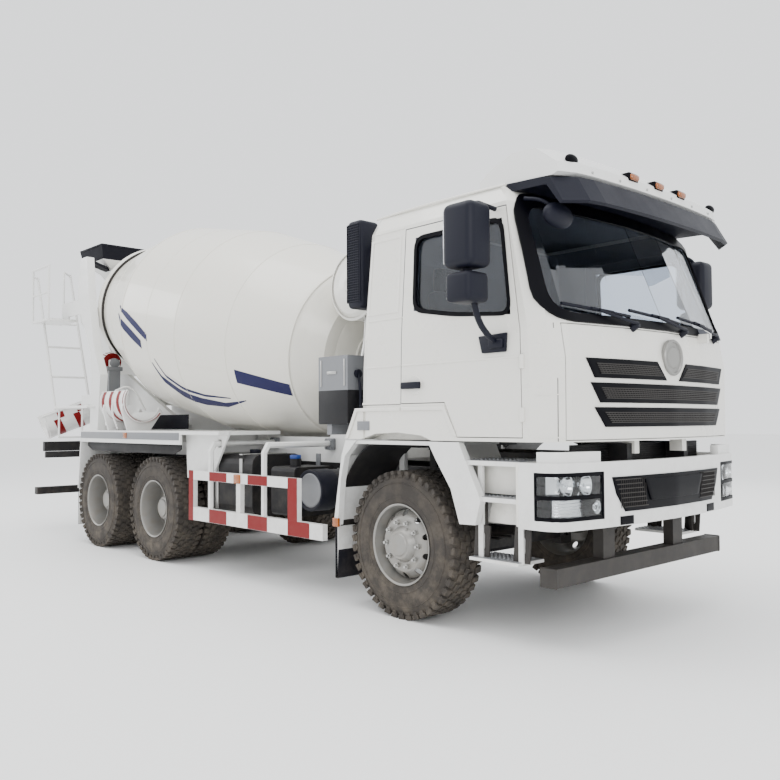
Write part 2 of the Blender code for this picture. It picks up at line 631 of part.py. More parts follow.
def build_door(cab, side, sign):
    inner, outer = CAB_HALF - 0.20, CAB_HALF + 0.18
    hinge = pivot(f"door_hinge_{side}", (DOOR_AXIS[0], sign * DOOR_AXIS[1], 1.5), cab)
    slab = sided(prism("y", (inner, outer), DOOR_OUTLINE), sign)
    hole = sided(prism("y", (inner, outer), WINDOW), sign)
    piece(f"door_{side}", CREAM, [cab_body(0)], [cab_body(CAB_WALL), hole], [slab],
          hinge_barrels(sign, HINGE_R, 0), parent=hinge)
    glass = sided(prism("y", (inner, outer), shrunk(WINDOW, GAP)), sign)
    piece(f"door_glass_{side}", GLASS, [cab_body(0.020)], [cab_body(0.026)], [glass],
          parent=hinge)
    y = CAB_HALF + 0.28
    low = [(0.88, y - 0.09, 2.46), (1.00, y - 0.12, 2.44), (1.12, y - 0.05, 2.46),
           (1.14, y + 0.02, 2.46), (1.00, y + 0.12, 2.44), (0.88, y + 0.10, 2.46)]
    high = [(0.88, y - 0.09, 2.82), (1.00, y - 0.12, 2.85), (1.10, y - 0.05, 2.82),
            (1.12, y + 0.02, 2.82), (1.00, y + 0.12, 2.85), (0.88, y + 0.10, 2.82)]
    arm = tube([(1.04, CAB_HALF + 0.015, 1.96), (1.05, y - 0.18, 2.05), (1.05, y - 0.04, 2.20),
                (1.04, y - 0.02, 2.60), (1.00, y - 0.04, 2.83), (0.99, y - 0.20, 2.87),
                (0.99, CAB_HALF - 0.005, 2.87)], 0.014)
    piece(f"mirror_{side}", PLASTIC, [sided(bm, sign) for bm in (
        loft([low, high]),
        block((0.91, 1.10), (y - 0.10, y + 0.11), (2.22, 2.41)),
        block((0.86, 1.10), (CAB_HALF + GAP, CAB_HALF + 0.03), (1.91, 2.04)),
        arm)], parent=hinge)


# ---- behind the cab -----------------------------------------------------------------------------
def build_behind_cab():
    piece("air_filter_box", GREY, [
        block((-1.02, -0.64), (-1.12, -0.68), (1.45, 2.01)),
        block((-0.93, -0.87), (-1.10, -0.37), (1.36, 1.46)),
        block((-0.93, -0.87), (-0.43, -0.37), (RAIL_TOP + GAP, 1.40)),
    ])
    tank = [(-0.66, 0), (-0.645, 0.16), (-0.62, 0.26), (-0.58, 0.315), (0.58, 0.315),
            (0.62, 0.26), (0.645, 0.16), (0.66, 0)]
    piece("water_tank", CREAM, [turned(tank, (-1.17, 0, 2.70), (0, 1, 0), 32)])


def tank_box(x, y, z, r):
    """Box along X with its long corners rounded to r."""
    corners = [(y[0], z[0]), (y[1], z[0]), (y[1], z[1]), (y[0], z[1])]
    return prism("x", x, rounded(corners, r))


def carrier(x):
    """Bracket from the right frame rail to a tank."""
    return block((x - 0.03, x + 0.03), (-0.60, -RAIL_OUT - GAP), (0.84, 1.00))


def build_tanks():
    piece("fuel_tank", BLACK, [tank_box((-2.89, -2.08), (-1.08, -0.50), (0.58, 1.16), 0.09),
                               carrier(-2.70), carrier(-2.27)])
    piece("exhaust_silencer", GREY, [
        tank_box((-1.86, -1.50), (-1.02, -0.56), (0.62, 1.06), 0.04),
        block((-1.52, -1.20), (-0.90, -0.62), (0.70, 1.00)),
        turned([(0, 0), (0, 0.175), (0.40, 0.175), (0.40, 0)], (-1.256, -1.02, 0.873),
               (0, 1, 0), 28),
        rod((-1.70, -0.86, 1.04), (-1.70, -0.86, 1.13), 0.05, 16), carrier(-1.68)])
    rail = RAIL_OUT + GAP
    piece("battery_box", BLACK, [
        tank_box((-1.75, -1.05), (0.50, 1.05), (0.66, 1.08), 0.03),
        block((-1.60, -1.54), (rail, 0.60), (0.84, 1.00)),
        block((-1.26, -1.20), (rail, 0.60), (0.84, 1.00))])
    piece("air_tanks", DARK_STEEL, [
        rod((-2.85, 0.72, 0.80), (-2.08, 0.72, 0.80), 0.14, 24),
        block((-2.75, -2.69), (rail, 0.72), (0.84, 0.98)),
        block((-2.24, -2.18), (rail, 0.72), (0.84, 0.98))])


HOOPS_X = (-2.61, -1.70)      # bars that carry the side guard


def build_side_guard(side, sign):
    rails = [(-2.99, 0.50), (-0.83, 0.50), (-0.83, 0.63), (-1.18, 0.63), (-1.18, 0.99),
             (-2.99, 0.99), (-2.99, 0.90), (-1.31, 0.90), (-1.31, 0.63), (-2.99, 0.63)]
    adds = [prism("y", (1.18, 1.23), rails),
            block((-2.99, -2.91), (1.18, 1.23), (0.55, 0.95)),
            block((-2.13, -2.06), (1.18, 1.225), (0.55, 0.95))]
    for x in HOOPS_X:
        adds.append(tube([(x, 1.205, 0.55), (x, 1.205, 1.19), (x, 1.165, 1.26),
                          (x, 0.43 + GAP, 1.26)], 0.028))
    piece(f"side_guard_{side}", WHITE, [sided(bm, sign) for bm in adds])


def build_rear_fender(side, sign):
    front_panel = [(-3.27, 1.375), (-2.43, 1.375), (-2.71, 0.97), (-3.10, 0.88), (-3.24, 0.90)]
    skirt = [(-5.78, 0.66), (-5.76, 0.66), (-5.68, 1.35), (-5.70, 1.36)]
    flap = [(-5.80, 0.21), (-5.785, 0.21), (-5.76, 0.70), (-5.78, 0.70)]
    adds = [block((-5.70, -2.45), (0.50, 1.22), (FENDER_TOP - 0.035, FENDER_TOP)),
            block((-5.70, -3.20), (1.195, 1.22), (1.24, 1.37)),
            prism("y", (1.09, 1.11), front_panel), prism("y", (0.56, 1.22), skirt),
            prism("y", (0.60, 1.20), flap)]
    for x in (-2.80, -4.45):
        adds.append(block((x - 0.03, x + 0.03), (0.43 + GAP, 0.56), (1.24, 1.35)))
    adds.append(block((-5.63, -5.57), (0.46 + GAP, 0.56), (SUB_TOP + 0.01, 1.35)))
    hoop = HOOPS_X[0] - BODY
    slot = sided(block((hoop - 0.036, hoop + 0.036), (1.05, 1.15), (1.22, 1.30)), sign)
    piece(f"rear_fender_{side}", WHITE, [sided(bm, sign) for bm in adds], [slot], slide=BODY)


# ---- drum and its stand ---------------------------------------------------------------------------
BACK = Vector((-math.cos(DRUM_TILT), 0, math.sin(DRUM_TILT)))
DRUM_FRONT = [(-1.93, 0.30), (-1.90, 0.50), (-1.84, 0.66), (-1.69, 0.86), (-0.85, 1.04),
              (0.0, DRUM_R), (1.31, DRUM_R)]
MOUTH = (3.22, 0.62)          # drum's open end: along the axis, and radius


def along(s):
    """Point on the drum's axis, s back from the front of its cylinder."""
    return Vector((DRUM_AT[0], 0, DRUM_AT[1])) + s * BACK


def build_drum():
    spin = pivot("drum_spin", tuple(along(0)))
    race = (RACE_S - RACE_HALF, RACE_S + RACE_HALF)
    outside = [*DRUM_FRONT, (race[0], RACE_R - 0.03), (race[0], RACE_R), (race[1], RACE_R),
               (race[1], RACE_R - 0.06), MOUTH]
    inside = [(s + (DRUM_WALL if r < 0.7 else 0), r - DRUM_WALL) for s, r in DRUM_FRONT]
    inside += [(race[0], RACE_R - 0.042), (race[1], RACE_R - 0.072),
               (MOUTH[0], MOUTH[1] - DRUM_WALL)]
    flange = FLANGE_S + 0.02
    profile = [(FLANGE_S, 0), (FLANGE_S, 0.24), (flange, 0.24), *outside,
               *reversed(inside), (flange + 0.025, 0)]
    piece("drum", CREAM, [turned(profile, along(0), BACK, DRUM_STEPS)], parent=spin)


def build_subframe():
    deck, tail = 1.78, RAIL_REAR + 0.05
    seat_z = 2.70 - 0.315 - GAP
    rail = [(tail, RAIL_TOP + GAP), (-1.02, RAIL_TOP + GAP), (-1.08, SUB_TOP), (tail, SUB_TOP)]
    tower = [(-1.75, 1.30), (-1.06, 1.30), (-1.10, deck), (-1.52, deck)]
    adds = [*both(prism, "y", (0.35, 0.43), rail), *both(prism, "y", (0.36, 0.42), tower),
            *both(block, (-1.20, -1.14), (0.36, 0.42), (1.70, seat_z)),
            block((-1.52, -1.10), (-0.40, 0.40), (deck - 0.06, deck))]
    for x in (-1.20, -3.20, REAR - 0.05, REAR - 1.45, tail + 0.10):
        adds.append(block((x - 0.05, x + 0.05), (-0.40, 0.40), (1.12, 1.28)))
    piece("drum_subframe", WHITE, adds)
    gearbox = turned([(-0.50, 0), (-0.50, 0.14), (-0.34, 0.16), (-0.30, 0.25), (-0.12, 0.25),
                      (-0.10, 0.20), (0, 0.20), (0, 0)], along(FLANGE_S) - GAP * BACK, BACK, 28)
    piece("drum_gearbox", GREY, [gearbox, block((-1.42, -1.16), (-0.22, 0.22),
                                               (deck + GAP, 2.02))])


def build_pedestal():
    """Frame that carries the drum's two rollers, the hopper and the chute's swivel."""
    post = [(1.30, -5.82, -6.05), (2.09, -5.74, -6.02), (2.39, -5.91, -6.06),
            (2.60, -5.98, -6.17), (3.10, -6.10, -6.50), (3.67, -6.19, -6.39)]
    flange = [(z, front, front - 0.02) for z, front, rear in post]
    gusset = [(-6.42, SUB_TOP + GAP), (-4.75, SUB_TOP + GAP), (-4.75, 1.55), (-5.60, 1.92),
              (-6.03, 2.12), (-6.42, 2.12)]

    def strip(rows, y):
        return loft([[(a, y[0], z), (b, y[0], z), (b, y[1], z), (a, y[1], z)]
                     for z, a, b in rows])

    adds = [block((-6.40, -5.96), (-0.93, 0.93), (1.71, 1.84)),
            block((-6.40, -6.12), (-0.45, 0.45), (1.41, 1.49)),
            block((-7.00, -6.30), (-0.06, 0.06), (1.39, 1.47)),
            block((-7.14, -6.90), (-0.10, 0.10), (1.36, 1.48)),
            *both(strip, post, (0.93, 0.96)), *both(strip, flange, (0.86, 0.96)),
            *both(block, (-6.05, -5.84), (0.36, 0.95), (SUB_TOP + GAP, 1.44)),
            *both(prism, "y", (0.40, 0.46), gusset),
            *both(block, (-7.03, -6.20), (0.93, 0.955), (2.93, 3.13))]
    centre = along(RACE_S) - BODY * Vector((1, 0, 0))
    up = Vector((BACK.z, 0, -BACK.x))
    down = Vector((0, math.sin(ROLLER_ANGLE), 0)) - math.cos(ROLLER_ANGLE) * up
    at = centre + (RACE_R + CLEAR + ROLLER_R) * down
    adds += both(rod, at - 0.05 * BACK, at + 0.05 * BACK, ROLLER_R, 20)
    adds += both(rod, at - 0.14 * BACK, at + 0.14 * BACK, 0.035, 12)
    for x in (at.x - 0.12, at.x + 0.12):
        adds += both(block, (x - 0.015, x + 0.015), (at.y - 0.07, at.y + 0.07),
                     (1.80, at.z + 0.02))
    piece("rear_pedestal", WHITE, adds, slide=BODY)


def pan(x, y, z):
    """Ring of four corners: x from and to, half width, height."""
    return [(x[0], y, z), (x[0], -y, z), (x[1], -y, z), (x[1], y, z)]


def build_hopper():
    """Filling hopper with its rubber rim, and the discharge funnel below the drum's mouth."""
    out = [pan((-6.85, -6.60), 0.22, 3.30), pan((-7.02, -6.62), 0.40, 3.60),
           pan((-7.16, -6.50), 0.60, 3.74), pan((-7.20, -6.46), 0.64, 3.94)]
    hole = [pan((-6.84, -6.63), 0.19, 3.28), pan((-7.00, -6.65), 0.37, 3.60),
            pan((-7.13, -6.53), 0.57, 3.75), pan((-7.17, -6.49), 0.61, 3.96)]
    bracket = [(-6.80, 0.43), (-6.66, 0.43), (-6.24, 0.86 - GAP), (-6.30, 0.93 - GAP),
               (-6.36, 0.93 - GAP)]
    piece("hopper", PLASTIC, [loft(out)], [loft(hole)],
          late=both(prism, "z", (3.61, 3.65), bracket), slide=BODY)
    out = [pan((-7.14, -6.90), 0.17, 2.16), pan((-7.22, -6.77), 0.42, 2.62),
           pan((-7.28, -6.77), 0.59, 2.93), pan((-7.28, -6.77), 0.60, 3.09)]
    hole = [pan((-7.12, -6.92), 0.15, 2.14), pan((-7.20, -6.79), 0.40, 2.62),
            pan((-7.26, -6.79), 0.57, 2.93), pan((-7.26, -6.79), 0.58, 3.11)]
    piece("discharge_funnel", WHITE, [loft(out)], [loft(hole)],
          late=both(block, (-6.95, -6.85), (0.585, 0.93 - GAP), (3.02, 3.05)), slide=BODY)


def build_rear_bumper():
    arm = [(-6.40, 0.85), (-6.40, 1.00), (-6.98, 1.18), (-7.02, 1.18), (-7.30, 0.583),
           (-7.30, 0.50), (-7.22, 0.50), (-6.95, 0.95)]
    piece("rear_bumper", GREY, [
        block((-7.36, -7.26), (-1.18, 1.18), (0.485, 0.583)),
        block((-7.02, -6.952), (-1.20, 1.20), (1.09, 1.22)),
        *both(prism, "y", (0.44, 0.49), arm),
        *both(block, (-6.46, -6.36), (RAIL_OUT + GAP, 0.47), (0.86, 0.98))], slide=BODY)


def build_ladder():
    """Ladder up to the platform beside the hopper, with its rails."""
    r, thin, deck = 0.02, 0.014, 2.86
    foot, top = Vector((-6.88, -1.09, 1.66)), Vector((-7.385, -1.16, 3.52))
    inner_foot, inner_top = Vector((-6.88, -0.60, 1.66)), Vector((-7.40, -0.70, 3.62))
    adds = [block((-7.35, -6.75), (-1.25, -0.85), (deck, deck + 0.03)),
            tube([foot, top], r), tube([inner_foot, inner_top], r)]
    for z in (1.68, 2.11, 2.53):
        t = (z - foot.z) / (top.z - foot.z)
        adds.append(tube([foot.lerp(top, t), inner_foot.lerp(inner_top, t * 0.95)], 0.016))
    adds += [
        tube([(-7.34, -1.24, deck), (-7.34, -1.24, 3.60), (-6.76, -1.24, 3.60),
              (-6.76, -1.24, deck)], 0.018),
        tube([(-7.34, -1.24, 3.24), (-6.76, -1.24, 3.24)], thin),
        tube([(-7.34, -1.24, 3.51), (-7.385, -1.16, 3.51)], thin),
        tube([inner_top - Vector((0, 0, 0.02)), (-7.16, -0.88, 3.60),
              (-7.16, -0.88, deck + 0.01)], thin),
        tube([(-7.24, -0.90, deck + 0.013), (-7.205, -0.64, deck + 0.013)], thin),
        block((-6.98, -6.80), (-0.953, -0.932), (deck + 0.02, 2.93 - GAP)),
        tube([(-6.88, -1.09, 1.68), (-5.90, -1.05, 1.68), (-5.90, -0.96 - GAP, 1.68)], r),
        tube([(-6.80, -1.07, 1.69), (-6.80, -1.07, 1.28), (-6.80, -0.75, 1.28),
              (-6.80, -0.75, 1.67), (-6.80, -1.055, 1.672)], thin)]
    piece("ladder_platform", WHITE, adds, slide=BODY)


def half_pipe(x, centre, r, wall, start, end, count=12):
    """Trough along X: an arc of the circle round centre (y, z), from start to end degrees."""
    arc = [math.radians(start + (end - start) * k / count) for k in range(count + 1)]
    outline = [(centre[0] + r * math.cos(a), centre[1] + r * math.sin(a)) for a in arc]
    outline += [(centre[0] + (r - wall) * math.cos(a), centre[1] + (r - wall) * math.sin(a))
                for a in reversed(arc)]
    return prism("x", x, outline)


def build_extension_chutes():
    """Two spare troughs lying one in the other, in saddles on the right fender."""
    centre, r = (-0.865, 1.72), 0.24
    foot = FENDER_TOP + GAP
    saddle = [(-1.045, foot), (-0.756, foot), (-0.60, 1.60), (-0.66, 1.68), (-1.08, 1.82),
              (-1.12, 1.62)]
    hollow = [rod((-5.5, *centre), (-4.5, *centre), r - 0.004, 24) for k in range(2)]
    piece("extension_chutes", WHITE, [
        half_pipe((-5.38, -4.78), centre, r, 0.012, 146, 328),
        half_pipe((-5.34, -4.73), centre, r - 0.011, 0.012, 148, 326),
        (prism("x", (-4.80, -4.77), saddle), hollow[0]),
        (prism("x", (-5.31, -5.28), saddle), hollow[1])], slide=BODY)


def build_chute():
    """Main chute: it swivels about an upright pin and lifts about a cross pin at its head."""
    x, y = CHUTE_SWIVEL
    swivel = pivot("chute_swivel", (x, y, 1.6))
    heading = Matrix.Translation((x, y, 0)) @ Matrix.Rotation(CHUTE_HEADING, 4, "Z")
    fork_y = CHUTE_R + 0.02
    fork = [moved(block((-0.04, 0.04), (s * (fork_y + 0.02) - 0.02, s * (fork_y + 0.02) + 0.02),
                        (1.50, CHUTE_TOP + 0.04)), heading) for s in (1, -1)]
    piece("chute_arm", WHITE, [
        rod((x, y, 1.48 + GAP), (x, y, 1.53), 0.06, 20),
        moved(block((-0.05, 0.05), (-fork_y - 0.04, fork_y + 0.04), (1.50, 1.54)), heading),
        *fork], parent=swivel)
    lift = pivot("chute_lift", (x, y, CHUTE_TOP), swivel)
    slope = (Matrix.Translation((x, y, CHUTE_TOP)) @ Matrix.Rotation(CHUTE_HEADING, 4, "Z")
             @ Matrix.Rotation(CHUTE_SLOPE, 4, "Y"))
    r, wall = CHUTE_R, 0.012
    arc = [math.radians(180 + 180 * k / 12) for k in range(13)]
    outline = [(r * math.cos(a), r * math.sin(a)) for a in arc]
    outline += [(r, CHUTE_LIP), (r - wall, CHUTE_LIP)]
    outline += [((r - wall) * math.cos(a), (r - wall) * math.sin(a)) for a in reversed(arc)]
    outline += [(-r + wall, CHUTE_LIP), (-r, CHUTE_LIP)]
    trough = prism("x", (-0.18, CHUTE_LENGTH), outline)
    pins = [rod((0, s * (r - 0.006), 0), (0, s * (fork_y - GAP), 0), 0.02, 16) for s in (1, -1)]
    piece("main_chute", WHITE, [moved(bm, slope) for bm in [trough] + pins], parent=lift)


build_frame()
build_front_axle()
build_bogie()
build_engine()
build_bumper()
build_underrun()
build_front_arches()
CAB = build_cab()
build_cab_trim(CAB)
build_behind_cab()
build_tanks()
build_drum()
build_subframe()
build_pedestal()
build_hopper()
build_rear_bumper()
build_ladder()
build_extension_chutes()
build_chute()
for SIDE, SIGN in SIDES:
    build_front_corner(SIDE, SIGN)
    build_rear_wheel("2", AXLE_2, SIDE, SIGN)
    build_rear_wheel("3", AXLE_3, SIDE, SIGN)
    build_door(CAB, SIDE, SIGN)
    build_side_guard(SIDE, SIGN)
    build_rear_fender(SIDE, SIGN)
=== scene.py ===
import json
import math

import bmesh
import bpy
from mathutils import Matrix, Vector


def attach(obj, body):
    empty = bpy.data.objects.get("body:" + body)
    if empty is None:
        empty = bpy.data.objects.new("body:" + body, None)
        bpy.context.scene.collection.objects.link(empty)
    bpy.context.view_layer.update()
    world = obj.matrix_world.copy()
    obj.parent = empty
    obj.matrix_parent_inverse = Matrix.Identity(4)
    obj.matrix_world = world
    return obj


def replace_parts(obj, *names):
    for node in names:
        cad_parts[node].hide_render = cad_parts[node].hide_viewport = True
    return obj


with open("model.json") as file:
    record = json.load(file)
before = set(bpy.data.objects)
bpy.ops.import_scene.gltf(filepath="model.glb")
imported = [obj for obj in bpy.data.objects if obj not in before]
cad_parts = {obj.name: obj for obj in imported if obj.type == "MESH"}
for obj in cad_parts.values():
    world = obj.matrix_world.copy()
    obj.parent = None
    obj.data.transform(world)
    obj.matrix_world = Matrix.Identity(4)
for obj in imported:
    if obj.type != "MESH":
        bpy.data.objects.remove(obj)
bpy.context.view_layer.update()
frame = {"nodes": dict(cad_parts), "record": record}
NODES = frame["nodes"]
X0 = 2.947    # front axle ahead of the truck's middle: pieces are laid out from the front axle
BOTH = (("left", 1), ("right", -1))


# ---- materials ---------------------------------------------------------------------------------
def rgb(text):
    """sRGB hex to the linear colour a shader takes."""
    parts = [int(text[i:i + 2], 16) / 255 for i in (0, 2, 4)]
    return [p / 12.92 if p <= 0.04045 else ((p + 0.055) / 1.055) ** 2.4 for p in parts] + [1.0]


def add(tree, kind, settings=(), links=()):
    """A node with its settings and inputs: a value is set, a socket is joined."""
    node = tree.nodes.new(kind)
    for key, value in dict(settings).items():
        setattr(node, key, value)
    for key, value in dict(links).items():
        if isinstance(value, bpy.types.NodeSocket):
            tree.links.new(value, node.inputs[key])
        else:
            node.inputs[key].default_value = value
    return node


def finish(name, colour, roughness, metallic=0.0, coat=0.0, dirt=0.0, grain=None, dust="8a7f70",
           worn=0.06, **shader):
    """Surface with uneven gloss, road dust that gathers low down, and a fine bump.

    dirt is how much dust it holds near the ground; grain is the bump's (size in metres, depth).
    """
    mat = bpy.data.materials.new(name)
    mat.use_nodes = True
    tree = mat.node_tree
    main = tree.nodes["Principled BSDF"]
    main.inputs["Metallic"].default_value = metallic
    main.inputs["Coat Weight"].default_value = coat
    main.inputs["Coat Roughness"].default_value = 0.06
    for key, value in shader.items():
        main.inputs[key.replace("_", " ")].default_value = value
    place = add(tree, "ShaderNodeTexCoord").outputs["Object"]
    cloud = add(tree, "ShaderNodeTexNoise", links={
        "Vector": place, "Scale": 2.6, "Detail": 6.0, "Roughness": 0.62})
    uneven = add(tree, "ShaderNodeMapRange", links={
        "Value": cloud.outputs["Fac"], "From Min": 0.3, "From Max": 0.7,
        "To Min": max(roughness - worn, 0.0), "To Max": roughness + worn})
    tree.links.new(uneven.outputs["Result"], main.inputs["Roughness"])
    if dirt:
        height = add(tree, "ShaderNodeSeparateXYZ", links={"Vector": place}).outputs["Z"]
        low = add(tree, "ShaderNodeMapRange", links={
            "Value": height, "From Min": 1.5, "From Max": 0.2, "To Min": 0.06, "To Max": 1.0})
        specks = add(tree, "ShaderNodeTexNoise", links={
            "Vector": place, "Scale": 9.0, "Detail": 8.0, "Roughness": 0.7})
        patch = add(tree, "ShaderNodeMapRange", links={
            "Value": specks.outputs["Fac"], "From Min": 0.42, "From Max": 0.68,
            "To Min": 0.15, "To Max": 1.0})
        amount = add(tree, "ShaderNodeMath", {"operation": "MULTIPLY"}, {
            0: low.outputs["Result"], 1: patch.outputs["Result"]})
        held = add(tree, "ShaderNodeMath", {"operation": "MULTIPLY"}, {
            0: amount.outputs[0], 1: dirt})
        mix = add(tree, "ShaderNodeMix", {"data_type": "RGBA"}, {
            "Factor": held.outputs[0]})
        mix.inputs["A"].default_value = rgb(colour)
        mix.inputs["B"].default_value = rgb(dust)
        tree.links.new(mix.outputs["Result"], main.inputs["Base Color"])
    else:
        main.inputs["Base Color"].default_value = rgb(colour)
    if grain:
        size, depth = grain
        fine = add(tree, "ShaderNodeTexNoise", links={
            "Vector": place, "Scale": 1 / size, "Detail": 3.0})
        bump = add(tree, "ShaderNodeBump", links={
            "Height": fine.outputs["Fac"], "Strength": 0.5, "Distance": depth})
        tree.links.new(bump.outputs["Normal"], main.inputs["Normal"])
    mat.diffuse_color = rgb(colour)
    return mat


# Cab and drum: creamy white car paint under clear coat, faint orange peel
CREAM = finish("cream_gloss_paint", "e3e1da", 0.30, coat=0.6, dirt=0.25, grain=(0.010, 0.0002))
# Drum: the same cream, a little duller, with cement haze
DRUM = finish("drum_enamel", "dfdcd2", 0.36, coat=0.35, dirt=0.3, grain=(0.03, 0.0012))
# Bumper, guards and fenders: harder white, dusty low down
WHITE = finish("white_enamel", "e2e2e0", 0.36, coat=0.35, dirt=0.4, grain=(0.012, 0.0003))
# Frame and tanks: black chassis paint, half matt, dusty
BLACK = finish("black_chassis_paint", "101014", 0.5, dirt=0.16, grain=(0.004, 0.0003),
               Specular_IOR_Level=0.3)
# Boxes, gearbox, lamp beam: mid grey enamel
GREY = finish("grey_enamel", "707276", 0.42, coat=0.2, dirt=0.3, grain=(0.006, 0.0003))
# Axles and under-run beam: dark brown-grey primer on rough steel
STEEL = finish("dark_primed_steel", "2a2725", 0.6, metallic=0.2, dirt=0.08,
               grain=(0.004, 0.0005))
# Engine: rough grey casting
CAST = finish("cast_iron", "4a4a4a", 0.7, metallic=0.4, dirt=0.3, grain=(0.003, 0.0008))
# Visor, mirrors, snorkel: navy-black moulded plastic with a fine leather grain
PLASTIC = finish("navy_black_plastic", "0e101d", 0.5, grain=(0.0018, 0.0003), dirt=0.06,
                 Specular_IOR_Level=0.22)
# Grille, gaskets, lamp bezels: glossy black plastic
GLOSS = finish("black_gloss_trim", "040409", 0.42, Specular_IOR_Level=0.08)
# Hopper rim: dull navy-black rubber
RUBBER = finish("hopper_rubber", "0b0c16", 0.75, grain=(0.004, 0.0006), dirt=0.08,
                Specular_IOR_Level=0.2)
# Tyres: brown-black rubber, dusty
TYRE = finish("road_tyre", "2a2623", 0.86, grain=(0.003, 0.0006), dirt=0.55, dust="6f6558")
# Wheels: silver-grey wheel paint over steel
RIM = finish("silver_wheel_paint", "8f8e8b", 0.38, metallic=0.55, dirt=0.5, grain=(0.004, 0.0003))
# Bolts, caps and pipes: bright zinc
ZINC = finish("bright_zinc", "b4b4b2", 0.32, metallic=0.85, dirt=0.3, dust="7d7468")
# Polished trim: chrome
CHROME = finish("chrome", "d6d8da", 0.09, metallic=1.0, worn=0.03)
# Stripes and rollers: signal red enamel
RED = finish("signal_red", "740004", 0.45, dirt=0.06, grain=(0.01, 0.0002),
             Specular_IOR_Level=0.25)
# Drum bands: navy enamel
NAVY = finish("navy_enamel", "0b0d42", 0.45, grain=(0.02, 0.0008), Specular_IOR_Level=0.2)
# Marker lamps: amber lens
AMBER = finish("amber_lens", "b05c08", 0.2, coat=0.6, Transmission_Weight=0.35)
# Tail lamps: red lens
TAIL = finish("red_lens", "850206", 0.16, coat=0.6, Transmission_Weight=0.3)
# Filler caps: blue and yellow plastic
BLUE = finish("blue_plastic", "1d3f8a", 0.4)
YELLOW = finish("yellow_plastic", "d8a818", 0.4)
# Seats: dark woven cloth
CLOTH = finish("woven_seat_cloth", "2b2c30", 0.92, grain=(0.0015, 0.0006), Sheen_Weight=0.3)
# Cab lining: light grey moulded board
LINING = finish("grey_lining", "6d7078", 0.7, grain=(0.002, 0.0003))
# Windows: faintly grey clear glass
GLASS = finish("window_glass", "dbe2ec", 0.02, worn=0.015, Transmission_Weight=1.0, IOR=1.45)
# Lamp covers: clear moulded polycarbonate
LENS = finish("clear_lens", "f2f4f5", 0.03, worn=0.02, Transmission_Weight=1.0, IOR=1.4)

SLOTS = {"cream_paint": CREAM, "white_paint": WHITE, "black_paint": BLACK, "grey_paint": GREY,
         "dark_steel": STEEL, "cast_block": CAST, "black_plastic": PLASTIC,
         "hopper_rubber": RUBBER, "tyre_rubber": TYRE, "window_glass": GLASS,
         "lamp_glass": LENS, "seat_cloth": CLOTH}
for row in frame["record"]["subparts"]:
    data = NODES[row["node"]].data
    data.materials.clear()
    data.materials.append(SLOTS[row["material_slot"]])
NODES["exhaust_silencer"].data.materials[0] = NODES["rear_bumper"].data.materials[0] = BLACK
CAB_MIDDLE = Vector((0.45 + X0, 0, 2.1))
for node in ("cab_shell", "door_left", "door_right"):
    lined = NODES[node]
    lined.data.materials.append(LINING)
    turned_in = lined.matrix_world.to_3x3()
    for face in lined.data.polygons:
        centre = lined.matrix_world @ face.center
        if (centre - CAB_MIDDLE).dot(turned_in @ face.normal) < 0 and 1.6 < centre.z < 3.04:
            face.material_index = 1
for node in ("mirror_left", "mirror_right", "hopper", "sun_visor", "roof_header", "front_bumper"):
    soft = NODES[node].modifiers.new("eased edges", "BEVEL")
    soft.width = 0.006
    soft.segments = 2
    soft.limit_method = "ANGLE"


# ---- shapes, in metres from the front axle -------------------------------------------------------
def active():
    return bpy.context.view_layer.objects.active


def pick(obj):
    bpy.ops.object.select_all(action="DESELECT")
    obj.select_set(True)
    bpy.context.view_layer.objects.active = obj


def eased(obj, bevel, steps=2):
    """All sharp edges rounded."""
    if bevel:
        pick(obj)
        bpy.ops.object.mode_set(mode="EDIT")
        bpy.ops.mesh.select_all(action="SELECT")
        bpy.ops.mesh.bevel(offset=bevel, segments=steps, affect="EDGES")
        bpy.ops.object.mode_set(mode="OBJECT")
    return obj


def upright(obj):
    """Outward normals all over."""
    pick(obj)
    bpy.ops.object.mode_set(mode="EDIT")
    bpy.ops.mesh.select_all(action="SELECT")
    bpy.ops.mesh.normals_make_consistent(inside=False)
    bpy.ops.object.mode_set(mode="OBJECT")
    return obj


def rounded(obj, bevel, limit=math.radians(30)):
    """Edges sharper than limit rounded, flat ones left alone."""
    if bevel:
        rim = obj.modifiers.new("rim", "BEVEL")
        rim.width, rim.segments, rim.limit_method, rim.angle_limit = bevel, 2, "ANGLE", limit
        pick(obj)
        bpy.ops.object.modifier_apply(modifier=rim.name)
    return obj


def cut_out(obj, cutter):
    """The cutter's shape taken out of obj."""
    cut = obj.modifiers.new("cut", "BOOLEAN")
    cut.operation, cut.solver, cut.object = "DIFFERENCE", "EXACT", cutter
    pick(obj)
    bpy.ops.object.modifier_apply(modifier=cut.name)
    bpy.data.objects.remove(cutter)
    return obj


def egg(at, size, segments=32, rings=16):
    """Ball or almond with these half sizes."""
    bpy.ops.mesh.primitive_uv_sphere_add(segments=segments, ring_count=rings, radius=1,
                                         location=(at[0] + X0, at[1], at[2]), scale=size)
    bpy.ops.object.transform_apply(location=True, rotation=True, scale=True)
    return active()


def box(x, y, z, bevel=0.004, steps=2):
    """Box between x, y and z ranges, its edges eased."""
    at = [(a[0] + a[1]) / 2 for a in (x, y, z)]
    size = [abs(a[1] - a[0]) for a in (x, y, z)]
    bpy.ops.mesh.primitive_cube_add(size=1, location=(at[0] + X0, at[1], at[2]), scale=size)
    bpy.ops.object.transform_apply(location=True, rotation=True, scale=True)
    return eased(active(), min(bevel, min(size) * 0.4), steps)


